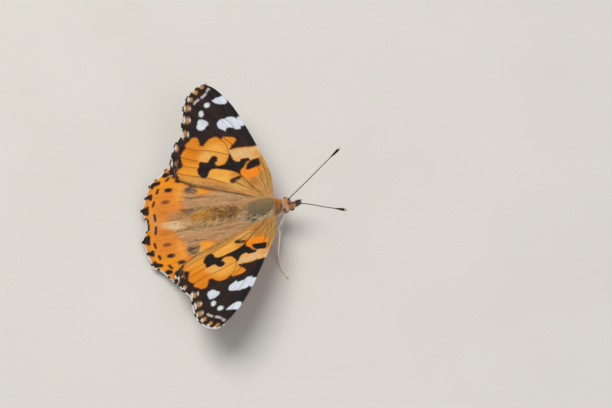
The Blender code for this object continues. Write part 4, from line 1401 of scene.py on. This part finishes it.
def abdomen_coat():
    """Coat of the abdomen, from the tail to the waist."""
    u, v, x = body_roots(9500, -17.95, -7.0)
    here, out, ahead = body_frame(u, v)
    around = toward_belly(u)
    side = np.sign(here[:, 1])
    lock = mottle(x * 3.0, u * 6, 5.0)              # neighbours lean and shade together
    along = -0.8 * ahead + 0.16 * draw.normal(size=here.shape)
    along[:, 1] += side * np.clip(0.3 + 1.2 * around, 0, 0.9) + 0.4 * lock
    crest = ring_wave(x)
    length = draw.uniform(0.55, 1.0, len(u)) * (0.75 + 0.5 * crest) * np.where(x < -17.0, 0.7, 1.0)
    rise = draw.uniform(0.04, 0.22, len(u)) + 0.10 * crest + 0.25 * np.clip(lock, 0, 1)
    colours = speckled(body_paint(u, v), 0.12) * (1 + 0.6 * lock)[:, None]
    to_tail = np.clip((-9.0 - x) / 6.0, 0, 1)
    gold = (draw.uniform(0, 1, len(u)) < 0.06 + 0.26 * to_tail + 0.4 * lock) & (around < 0.5)
    colours[gold] = linear("#E2AE4A")
    deep = (draw.uniform(0, 1, len(u)) < 0.24 - 0.13 * to_tail - 0.4 * lock) & (around < 0.5)
    colours[deep] = linear("#6A4420")
    pale = (draw.uniform(0, 1, len(u)) < 0.5 + lock) & (here[:, 1] < -0.45) & (around > 0.18)
    colours[pale] = linear("#FFDCA0")
    length = length * np.where(pale, 1.5, 1.0)
    return tufts("abdomen_coat", here, along, out, length, draw.uniform(0.07, 0.12, len(u)), rise,
                 colours, body_chart(u, v))


dress(abdomen_coat(), fur_finish)

# %% [markdown]
# Hair of the thorax. On the back it is a short dense velvet. Round that stands long
# tan hair that sweeps back over the wing roots, with pale streaks on the right side,
# where the light catches it. One coat with two lengths keeps the border soft.

# %% Thorax coat
def thorax_coat():
    """Coat of the thorax, from the waist to the collar."""
    u, v, x = body_roots(10500, -7.3, 0.6)
    here, out, ahead = body_frame(u, v)
    around = toward_belly(u)
    velvet = velvet_cover(here[:, :2], around)
    long_hair = (1 - velvet) * np.clip(1.7 - around, 0.4, 1)
    along = -ahead + (0.10 + 0.12 * long_hair)[:, None] * draw.normal(size=here.shape)
    along[:, 1] += np.sign(here[:, 1]) * 0.55 * long_hair * (around < 0.75)
    along[:, 2] -= 0.25 * long_hair * (around > 0.4)
    length = 0.28 + long_hair * draw.uniform(0.5, 1.6, len(u))
    rise = np.where(velvet > 0.5, 0.12, 0.22 + 0.12 * draw.uniform(size=len(u)))
    colours = speckled(body_paint(u, v), 0.08)
    lock = mottle(x * 1.2, u * 26, 8.0)
    streak = (draw.uniform(0, 1, len(u)) < (0.5 + 1.4 * lock) * long_hair) & (here[:, 1] < 0)
    colours[streak] = linear("#F6E6C2")
    return tufts("thorax_coat", here, along, out, length, draw.uniform(0.06, 0.10, len(u)), rise,
                 colours, body_chart(u, v))


dress(thorax_coat(), fur_finish)

# %% [markdown]
# Hair of the head. The collar behind it is a stiff brush that stands up and leans back.
# In front, hair lies flat over the crown and leans forwards over the brow, a little
# longer. A few dark hairs among the tan ones give the head its pepper-and-salt look.

# %% Head coat
def head_coat():
    """Coat of the collar, the neck and the head."""
    u, v, x = body_roots(3600, 0.35, 4.15)
    here, out, ahead = body_frame(u, v)
    around = toward_belly(u)
    collar = x < 2.0
    brow = np.clip((x - 2.6) / 1.0, 0, 1)[:, None]
    along = np.where(collar[:, None], 0.4 * out - 0.8 * ahead, (2.0 * brow - 1) * ahead + 0.2 * out)
    along = along + 0.14 * draw.normal(size=here.shape)
    length = np.where(collar, draw.uniform(0.40, 0.70, len(u)), draw.uniform(0.25, 0.45, len(u)))
    length = length + 0.25 * brow[:, 0] * (around < 0.5)
    colours = speckled(body_paint(u, v), 0.12)
    dark = (draw.uniform(0, 1, len(u)) < 0.10) & (x > 2.6)
    colours[dark] = linear("#6A4A32")
    return tufts("head_coat", here, along, out, length, draw.uniform(0.05, 0.09, len(u)), 0.12,
                 colours, body_chart(u, v))


dress(head_coat(), fur_finish)

# %% [markdown]
# Finish of the eyes. A butterfly's eye is a dome of thousands of facets, too many to
# model, so they are a bump. What shows is a smooth hazel dome with darker clouds, which
# lie deep under its clear skin, so they are one slow noise through two browns.

# %% Eye finish
EYE_CLOUD = 0.9           # millimetres from one cloud to the next
EYE_FACET = 0.06          # real facets are 0.03 mm across; these are twice that, to show

# A clear skin of chitin over dark cones: smooth, with a soft gloss
eye_finish, eye_tree, eye_shader = new_finish("faceted eye", 0.35, specular=0.4)
eye_place = add(eye_tree, "ShaderNodeTexCoord")
eye_smudge = add(eye_tree, "ShaderNodeTexNoise", {
    "Vector": eye_place.outputs["Object"], "Scale": 1 / (EYE_CLOUD * MM), "Detail": 1.0})
eye_tint = add(eye_tree, "ShaderNodeValToRGB", {"Fac": eye_smudge.outputs["Fac"]})
eye_tint.color_ramp.elements[0].position = 0.38
eye_tint.color_ramp.elements[0].color = (*linear("#664C3A"), 1.0)
eye_tint.color_ramp.elements[1].position = 0.62
eye_tint.color_ramp.elements[1].color = (*linear("#C69E74"), 1.0)
eye_facets = add(eye_tree, "ShaderNodeTexVoronoi", {
    "Vector": eye_place.outputs["Object"], "Scale": 1 / (EYE_FACET * MM)})
eye_bump = add(eye_tree, "ShaderNodeBump", {
    "Height": eye_facets.outputs["Distance"], "Strength": 0.25, "Distance": 0.01 * MM})
eye_tree.links.new(eye_tint.outputs["Color"], eye_shader.inputs["Base Color"])
eye_tree.links.new(eye_bump.outputs["Normal"], eye_shader.inputs["Normal"])
eye_shader.inputs["Coat Weight"].default_value = 0.3
print(eye_finish.name, "has", len(eye_tree.nodes), "nodes")

# %% [markdown]
# The eyes bulge from both sides of the head, behind the feelers. Each could be cut from
# the head's skin, but eyes are kept apart from it, as on the real insect, where a seam
# runs round them. A ball, squashed to the eye's three sizes, is sunk into the head.

# %% Eyes
EYE_PLACE = (2.92, 1.14, 0.34)
EYE_SIZE = (0.76, 0.84, 0.96)

for side, word in SIDE_WORDS.items():
    node = "eye_" + word
    build = bmesh.new()
    bmesh.ops.create_uvsphere(build, u_segments=48, v_segments=32, radius=1.0, calc_uvs=False)
    centre = Vector(in_frame(np.array(EYE_PLACE) * (1, side, 1)))
    bmesh.ops.scale(build, vec=Vector(EYE_SIZE) * MM, verts=build.verts)
    bmesh.ops.translate(build, vec=centre, verts=build.verts)
    mesh = bpy.data.meshes.new(node + "_dome")
    build.to_mesh(mesh)
    build.free()
    mesh.shade_smooth()
    dress(shown(node + "_dome", mesh), eye_finish, (node,))

# %% [markdown]
# Palps. Two scaly feelers of the mouth point forwards like a snout. They are tan, with
# dark tips and a paler underside, and brushed all over with short scales. A cone would
# be too stiff a form, so each is a tube on a bent path, with hair drawn round it.

# %% Palps
PALP_PATH = [(3.7, 0.42, -0.30), (4.4, 0.44, 0.05), (5.1, 0.40, 0.52), (5.7, 0.36, 0.97),
             (6.3, 0.32, 1.3)]
PALP_SHIFT = 0.08         # the head is turned a hair's breadth to its left

# Flat chitin scales pressed to the surface: matt, smoother than hair
scale_finish = coat_finish("short scales", 0.6, 0.15)


def palp_radius(v):
    """Radius along a palp, thickest in the middle."""
    return np.interp(v, (0, 0.1, 0.45, 0.8, 0.95, 1), (0.05, 0.26, 0.34, 0.24, 0.13, 0.02))


def palp_paint(u, v):
    """Tan, dark towards the tip, pale below."""
    under = 0.5 - 0.5 * np.sin(2 * np.pi * u)
    paint = lay(np.tile(linear("#D6A67C"), (len(u), 1)), np.clip((v - 0.44) * 6, 0, 1), "#43372F")
    return lay(paint, np.clip(2.2 * under - 0.9, 0, 1), "#BBA88C")


def tube_hair(name, path, radius, paint, count, span, lengths, width, lean):
    """Short hair all over a tube, leaning towards its far end."""
    v = draw.uniform(*span, count)
    u = draw.uniform(0, 1, count)
    middle, ahead, out = round_path(path, u, v)
    roots = middle + 0.9 * radius(v)[:, None] * out
    return tufts(name, roots, ahead + lean * out, out, draw.uniform(*lengths, count), width, 0.1,
                 speckled(paint(u, v), 0.2), body_chart(u, v))


for side, word in SIDE_WORDS.items():
    path = [(x, side * y + PALP_SHIFT, z) for x, y, z in PALP_PATH]
    palp = wrapped_skin("palp_" + word + "_core", (16, 30), tube_places(path, palp_radius), palp_paint)
    dress(palp, scale_finish, ("palp_" + word,))
    hair = tube_hair("palp_" + word + "_coat", path, palp_radius, palp_paint, 520, (0.05, 0.97),
                     (0.20, 0.48), 0.055, 0.35)
    dress(hair, fur_finish)

# %% [markdown]
# The proboscis is a real drinking tube, ringed, and wound up like a watch spring when
# it isn't in use. A Screw modifier winds springs, but not a flat one that tapers. So
# the path is a spiral of two and a half turns, worked out point by point, and the tube
# on it gets thinner towards its end.

# %% Proboscis
COIL_CENTRE = (4.1, 0.0, -1.42)
COIL_TURNS = 2.5
COIL_START = math.radians(95)
COIL_REACH = (0.70, 0.16)     # outer and inner radius of the spiral
COIL_ROOT = (3.85, 0.0, -0.50)
COIL_POINTS = 60

coil_path = [COIL_ROOT]
for part in np.linspace(0, 1, COIL_POINTS):
    angle = COIL_START - 2 * math.pi * COIL_TURNS * part
    reach = COIL_REACH[0] * (1 - part) + COIL_REACH[1] * part
    coil_path.append((COIL_CENTRE[0] + reach * math.cos(angle), 0.0,
                      COIL_CENTRE[2] + reach * math.sin(angle)))


def coil_radius(v):
    """Radius along the proboscis, with its fine rings."""
    return (0.14 - 0.07 * v) * (1 + 0.06 * np.sin(v * 400))


def coil_paint(u, v):
    """Brown, darker towards the middle of the spiral."""
    return lay(np.tile(linear("#6B4A2C"), (len(u), 1)), v, "#3E2C20")


coil_places = tube_places(coil_path, coil_radius, steps=600, level=(0.0, 1.0, 0.0))
proboscis = wrapped_skin("proboscis_tube", (12, 420), coil_places, coil_paint)
dress(proboscis, scale_finish, ("proboscis",))

# %% [markdown]
# Feelers. A thin shaft of about forty rings, each ring narrow at its foot and banded
# pale there, ends in a black club with a cream tip. Forty little pieces could be strung
# up, but one tube whose radius and paint repeat forty times has no gaps. The shaft is
# thinner than its solid, which has to be strong enough to be made.

# %% Feelers
ANTENNA_RINGS = 40
ANTENNA_PATHS = {
    "left": [(3.75, 0.75, 1.45), (3.95, 0.86, 2.05), (7.6, 3.1, 4.5), (11.5, 5.6, 7.1),
             (15.45, 8.1, 9.7)],
    "right": [(3.75, -0.42, 1.45), (3.95, -0.50, 2.05), (7.5, -2.55, 4.6), (11.2, -5.2, 7.3),
              (15.6, -7.7, 9.7)],
}


def antenna_radius(v):
    """Radius along a feeler: bulb, ringed shaft and club."""
    shaft = np.interp(v, (0, 0.02, 0.05, 0.80, 0.86, 0.93, 0.975, 1),
                      (0.10, 0.20, 0.095, 0.085, 0.18, 0.28, 0.25, 0.03))
    ring = v * ANTENNA_RINGS % 1
    return shaft * (1 + 0.10 * np.sin(np.pi * ring))


def antenna_paint(u, v):
    """Dark rings with pale feet, black club and cream tip."""
    ring = v * ANTENNA_RINGS % 1
    paint = np.tile(linear("#3E3632"), (len(u), 1))
    pale = (ring < 0.3) & (np.abs(u - 0.75) < 0.28) & (v < 0.84)
    paint = lay(paint, 0.7 * pale, "#B9AB95")
    paint = lay(paint, v > 0.84, "#1E1917")
    return lay(paint, np.clip((v - 0.955) * 40, 0, 1), "#DCC49A")


# Bare hard chitin, without sheen: the smoothest surface of the insect after its eyes
feeler_finish = coat_finish("ringed feeler", 0.45, 0.0)
for word, path in ANTENNA_PATHS.items():
    feeler = wrapped_skin("antenna_" + word + "_ringed", (14, 480),
                          tube_places(path, antenna_radius), antenna_paint)
    dress(feeler, feeler_finish, ("antenna_" + word,))

# %% [markdown]
# Legs. The painted lady walks on four legs. Its front pair is small and brushy and is
# held up against the chest. Each walking leg is a furry femur, a thinner tibia and a
# foot of five short joints. A row of joined cylinders would show its steps, so each leg
# is one tube along a path with short rounded bends.

# %% Paths of the legs
FOOT_Z = -7.05
LEG_PATHS = {
    "midleg_left": [(-1.3, 1.35, -3.15), (-1.0, 4.7, -2.5), (-2.0, 8.2, -6.4), (-2.3, 10.4, -6.85),
                    (-1.9, 12.6, FOOT_Z)],
    "midleg_right": [(-1.0, -1.35, -3.1), (1.15, -5.1, -2.5), (0.55, -8.8, -6.5),
                     (0.95, -11.6, -6.85), (2.3, -14.1, FOOT_Z)],
    "hindleg_left": [(-4.6, 1.2, -4.1), (-8.6, 4.9, -4.2), (-13.2, 7.6, -6.4),
                     (-15.2, 8.6, -6.85), (-17.2, 9.3, FOOT_Z)],
    "hindleg_right": [(-4.6, -1.2, -4.1), (-8.6, -4.9, -4.3), (-13.2, -7.6, -6.4),
                      (-15.2, -8.6, -6.85), (-17.2, -9.3, FOOT_Z)],
}
FORELEG_PATHS = {
    "foreleg_left": [(0.75, 0.75, -1.75), (2.2, 0.85, -2.15), (1.7, 1.9, -2.75), (0.6, 2.9, -3.3)],
    "foreleg_right": [(0.75, -0.75, -1.75), (2.35, -0.85, -2.15), (1.65, -2.5, -2.7),
                      (0.6, -4.0, -3.15)],
}
BEND = 0.35               # millimetres of each limb that a bend takes


def leg_line(points):
    """Straight limbs with short rounded bends, as a dense run of points."""
    given = np.array(points, float)
    dense = [given[0]]
    for a, b, c in zip(given[:-2], given[1:-1], given[2:]):
        before = b + (a - b) * min(0.25, BEND / np.linalg.norm(a - b))
        after = b + (c - b) * min(0.25, BEND / np.linalg.norm(c - b))
        dense += [before, 0.25 * before + 0.5 * b + 0.25 * after, after]
    dense.append(given[-1])
    return dense


def leg_marks(points):
    """How far along the leg, from 0 to 1, the knee and the ankle lie."""
    reach = np.cumsum([0] + [math.dist(a, b) for a, b in zip(points[:-1], points[1:])])
    return reach[1] / reach[-1], reach[2] / reach[-1]


for node, points in LEG_PATHS.items():
    length = sum(math.dist(a, b) for a, b in zip(points[:-1], points[1:]))
    print(node, "is", round(length, 1), "mm long")

# %% [markdown]
# Hair of the legs. Short scales cover each leg, pressed down towards the foot, with a
# longer bristle here and there. It is drawn round the tube as on the palps, but its
# length follows the joints, and bristles under a foot would dip into the floor, so
# there they lie flat.

# %% Hair on a leg
BRISTLES = 0.08           # share of the hairs that are bristles
NEAR_FLOOR = -6.6         # height under which no hair points down


def leg_hair(name, path, radius, paint, count, length):
    """Short scales over the whole leg, with a few longer bristles."""
    v = draw.uniform(0.01, 0.985, count)
    u = draw.uniform(0, 1, count)
    middle, ahead, out = round_path(path, u, v)
    bristle = draw.uniform(0, 1, count) < BRISTLES
    roots = middle + 0.85 * radius(v)[:, None] * out
    size = length(v) * draw.uniform(0.7, 1.2, count) * np.where(bristle, 1.6, 1.0)
    direction = ahead + np.where(bristle, 0.9, 0.30)[:, None] * out
    low = roots[:, 2] < NEAR_FLOOR
    direction[:, 2] = np.where(low, np.maximum(direction[:, 2], 0.0), direction[:, 2])
    keep = ~(low & (out[:, 2] < 0))
    made = tufts(name, roots[keep], direction[keep], out[keep], size[keep], 0.055, 0.05,
                 speckled(paint(u, v), 0.15)[keep], body_chart(u, v)[keep])
    dress(made, fur_finish)


print("about one hair in", round(1 / BRISTLES), "is a bristle")

# %% [markdown]
# Walking legs. The femur is thick and grey-brown with hair, and the tibia and foot are
# straw-coloured. Under the foot's paint its five joints swell a little, which the eye
# reads as a chain. The paint is paler than the leg looks, as hair shades hair.

# %% Walking legs
FEMUR_TINT = "#E2D8C6"
TIBIA_TINT = "#FAE8CE"
FOOT_TINT = "#F6DEC0"


def walking_radius(points):
    """Radius along a walking leg: femur, tibia and a foot of five joints."""
    knee, ankle = leg_marks(points)

    def radius(v):
        stops = (0, 0.02, 0.5 * knee, knee, knee + 0.03, ankle - 0.02, ankle, 0.99, 1)
        sizes = (0.05, 0.34, 0.36, 0.28, 0.24, 0.21, 0.17, 0.13, 0.02)
        toes = (v > ankle) * 0.03 * np.abs(np.sin(5 * np.pi * (v - ankle) / (1 - ankle)))
        return np.interp(v, stops, sizes) + toes
    return radius


def walking_paint(points):
    """Colours along a walking leg."""
    knee, ankle = leg_marks(points)

    def paint(u, v):
        made = np.tile(linear(FEMUR_TINT), (len(u), 1))
        made = lay(made, np.clip((v - knee) * 30, 0, 1), TIBIA_TINT)
        return lay(made, np.clip((v - ankle) * 20, 0, 1), FOOT_TINT)
    return paint


for node, points in LEG_PATHS.items():
    line = leg_line(points)
    radius, paint = walking_radius(points), walking_paint(points)
    leg = wrapped_skin(node + "_skin", (18, 220), tube_places(line, radius), paint)
    dress(leg, scale_finish, (node,))
    knee, ankle = leg_marks(points)
    leg_hair(node + "_coat", line, radius, paint, 900,
             lambda v: np.interp(v, (0, knee, knee + 0.05, ankle, 1), (0.55, 0.40, 0.26, 0.22, 0.15)))

# %% [markdown]
# Front legs. They are half as long, have no claws, and look like two brushes folded on
# the chest, which gives the family of brush-footed butterflies its name. The same tube
# and hair serve, thicker in the middle and with longer hair towards the end.

# %% Front legs
def brush_radius(v):
    """Radius along a front leg."""
    return np.interp(v, (0, 0.05, 0.3, 0.7, 0.95, 1), (0.04, 0.30, 0.42, 0.36, 0.18, 0.02))


def brush_paint(u, v):
    """Cream, a little darker towards the end."""
    return lay(np.tile(linear("#F2EADE"), (len(u), 1)), 0.5 * v, "#D2C4B2")


for node, points in FORELEG_PATHS.items():
    line = leg_line(points)
    leg = wrapped_skin(node + "_skin", (16, 90), tube_places(line, brush_radius), brush_paint)
    dress(leg, scale_finish, (node,))
    leg_hair(node + "_coat", line, brush_radius, brush_paint, 700,
             lambda v: np.interp(v, (0, 1), (0.45, 0.60)))

# %% [markdown]
# Claws and spurs. A pair of claws ends each walking foot, and two spurs stand at the
# end of each tibia. They are bare horn, dark and a little glossy. A plain cone would
# look like a thorn, so each is a cone drawn out along a bend, hooked at its end.

# %% Claws and spurs
CLAW_THICK = 0.055
SPUR_THICK = 0.05


def horn_paint(u, v):
    """Brown, nearly black at the point."""
    return lay(np.tile(linear("#4A3424"), (len(u), 1)), v, "#241A14")


def make_horn(name, path, thick):
    """One claw or spur."""
    cone = tube_places(path, lambda v: thick * (1 - 0.85 * v))
    dress(wrapped_skin(name, (8, 14), cone, horn_paint), feeler_finish)


for node, points in LEG_PATHS.items():
    toe, heel = Vector(points[-1]), Vector(points[-2])
    ahead = (toe - heel).normalized()
    aside = ahead.cross(Vector((0, 0, 1))).normalized()
    tibia = (Vector(points[2]) - Vector(points[1])).normalized()
    start = Vector(points[2]) - 0.25 * tibia
    for number, sign in ((1, 1), (2, -1)):
        claw = [toe - 0.1 * ahead, toe + 0.18 * ahead + sign * 0.12 * aside + Vector((0, 0, 0.05)),
                toe + 0.32 * ahead + sign * 0.20 * aside + Vector((0, 0, -0.10))]
        spur = [start, start + 0.30 * tibia + sign * 0.14 * aside,
                start + 0.62 * tibia + sign * 0.20 * aside + Vector((0, 0, 0.04))]
        make_horn(node + "_claw" + str(number), claw, CLAW_THICK)
        make_horn(node + "_spur" + str(number), spur, SPUR_THICK)

# %% [markdown]
# Hair on the wings. Long soft hair covers the inner zone of each hindwing and the base
# of each forewing. It lies along the veins, rearwards, and closes the gap between the
# hindwings and the abdomen. Paint alone would leave these zones flat, so hair is set on
# them, and each hair has the colour of the wing at its root, a little lit or shaded.

# %% Hair on the wing bases
HAIR_TINTS = ((0.24, "#E8C482"), (0.18, "#865C30"))      # share of the hairs, and their tint


def wing_hair(kind, side, name, count, v_range, length, bareness, u_from=0.0):
    """Hair on one wing, from its root to v_range[1], thinner where the wing is bright orange."""
    form = WING_FORMS[kind]
    u = draw.uniform(u_from, 1.0, count)
    v = v_range[0] + (v_range[1] - v_range[0]) * draw.uniform(0, 1, count) ** 0.7
    points = fan_points(form["shape"], u, v)
    ground = form["upper"](points, u, v, side)
    vivid = (ground[:, 2] < 0.06 * ground[:, 0]) | (ground[:, 0] < 0.06)      # orange or black
    keep = draw.uniform(0, 1, count) > bareness * vivid
    u, v, points, ground = u[keep], v[keep], points[keep], ground[keep]
    further = fan_points(form["shape"], u, np.minimum(v + 0.03, 1))
    middle, half = relief(points, form)
    lift = middle + half - 0.01
    roots = on_wing(kind, side, points, lift)
    along = unit(on_wing(kind, side, further, lift) - roots)
    along = along + 0.07 * draw.normal(size=along.shape)
    out = unit(on_wing(kind, side, points, lift + 1) - roots)
    lock = mottle(u * 45, v * 3, 81.0) * np.where(ground[:, 1] > 0.46, 0.3, 1.0)
    colours = speckled(1.25 * ground, 0.16) * np.clip(1 + 1.5 * lock, 0.25, 2)[:, None]
    for share, tint in HAIR_TINTS:
        some = draw.uniform(0, 1, len(u)) < share
        colours[some] = 0.5 * colours[some] + 0.5 * linear(tint)
    fade = np.clip((v_range[1] - v) / 0.25, 0.35, 1)
    size = draw.uniform(*length, len(u)) * fade
    made = tufts(name, roots, along, out, size, draw.uniform(0.06, 0.11, len(u)),
                 draw.uniform(0.01, 0.07, len(u)), colours, wing_chart(points), flat=0.4)
    dress(made, fur_finish)


for side, word in SIDE_WORDS.items():
    wing_hair("hindwing", side, "hindwing_" + word + "_hair", 9000, (0.02, 0.80), (1.2, 2.6), 0.95)
    wing_hair("forewing", side, "forewing_" + word + "_hair", 3200, (0.0, 0.34), (0.7, 1.5), 1.0)
    wing_hair("forewing", side, "forewing_" + word + "_hem", 1500, (0.1, 0.75), (1.0, 1.8), 1.0, 0.9)

# %% [markdown]
# Tegulae. A scaly flap covers the root of each forewing, like a shoulder piece. It
# could be a bent plate, but only its hair shows. So each is a short tapered core along
# the first stretch of the leading edge, with hair of its own.

# %% Tegulae
TEGULA_PATH = [(0.70, 1.9, -0.1), (0.80, 2.5, 0.10), (0.50, 3.2, 0.40), (0.0, 3.9, 0.66)]
TEGULA_SHIFT = {LEFT: -0.6, RIGHT: 0.0}      # the left forewing is swung further back


def tegula_radius(v):
    """Radius along a shoulder flap."""
    return np.interp(v, (0, 0.1, 0.4, 0.8, 1), (0.03, 0.22, 0.28, 0.16, 0.03))


def tegula_paint(u, v):
    """The gold of the forewing's base, paler outwards."""
    return lay(np.tile(linear("#B9853F"), (len(u), 1)), 1.2 * v - 0.2, "#CA9C54")


for side, word in SIDE_WORDS.items():
    path = [(x + TEGULA_SHIFT[side], side * y, z) for x, y, z in TEGULA_PATH]
    core = wrapped_skin("tegula_" + word + "_core", (16, 24), tube_places(path, tegula_radius),
                        tegula_paint)
    dress(core, scale_finish)
    hair = tube_hair("tegula_" + word + "_coat", path, tegula_radius, tegula_paint, 420,
                     (0.03, 0.95), (0.25, 0.5), 0.06, 0.25)
    dress(hair, fur_finish)

# %% [markdown]
# The fringe. Scales stand out along each outer margin like the teeth of a comb, in two
# rows. They are white in the hollows of the scalloped edge and dark where a vein ends.
# A see-through strip with painted teeth is the usual trick, but solid teeth catch the
# light and can be printed, so the fringe is made of tufts as well.

# %% Fringe of the wings
FRINGE_STEP = 0.065       # millimetres from one tooth to the next in a row
FRINGE_LENGTH = (0.46, 0.62)
FRINGE_ROOT = 0.12        # how far in from the edge the teeth are rooted
DARK_REACH = {"forewing": 0.80, "hindwing": 0.48}     # round a vein's end, in millimetres


def fringe(kind, side, name):
    """Two rows of scales along one wing's outer margin."""
    form = WING_FORMS[kind]
    ends = np.array([line[-1] for line in form["veins"].values()])
    edge = smooth_line(form["shape"]["margin"], 400)
    span = np.linalg.norm(np.diff(edge, axis=0), axis=1).sum()
    count = int(span / FRINGE_STEP)
    parts = []
    for row in (1, -1):
        u = (np.arange(count) + 0.5 + 0.25 * row) / (count + 1)
        v = np.ones(count)
        points = fan_points(form["shape"], u, v)
        ahead = fan_points(form["shape"], np.minimum(u + 0.004, 1), v)
        behind = fan_points(form["shape"], np.maximum(u - 0.004, 0), v)
        run = unit(ahead - behind)
        outward = np.column_stack([-run[:, 1], run[:, 0]])
        inner = fan_points(form["shape"], u, v - 0.02)
        outward *= np.sign(np.sum(outward * (points - inner), axis=1))[:, None]
        middle, half = relief(points, form)
        lift = middle + row * 0.5 * half
        roots = on_wing(kind, side, points - FRINGE_ROOT * outward, lift)
        along = on_wing(kind, side, points + outward, lift) - on_wing(kind, side, points, lift)
        out = on_wing(kind, side, points, lift + 1) - on_wing(kind, side, points, lift)
        near = np.min([np.linalg.norm(points - end, axis=1) for end in ends], axis=0)
        near = near + 0.12 * mottle(u * 90, v, 71.0)
        dark = np.clip((DARK_REACH[kind] - near) / 0.2, 0, 1)
        colours = lay(np.tile(linear("#DDD8D2"), (count, 1)), dark, "#2A211E")
        parts.append((roots, unit(along), unit(out), speckled(colours, 0.06), points))
    roots, along, out, colours, points = (np.vstack(column) for column in zip(*parts))
    along = along + 0.07 * draw.normal(size=along.shape)
    made = tufts(name, roots, along, out, draw.uniform(*FRINGE_LENGTH, len(roots)), 0.13,
                 0.0, colours, wing_chart(points), flat=0.35)
    dress(made, wing_finish)


for kind, side in WING_TURNS:
    fringe(kind, side, kind + "_" + SIDE_WORDS[side] + "_fringe")
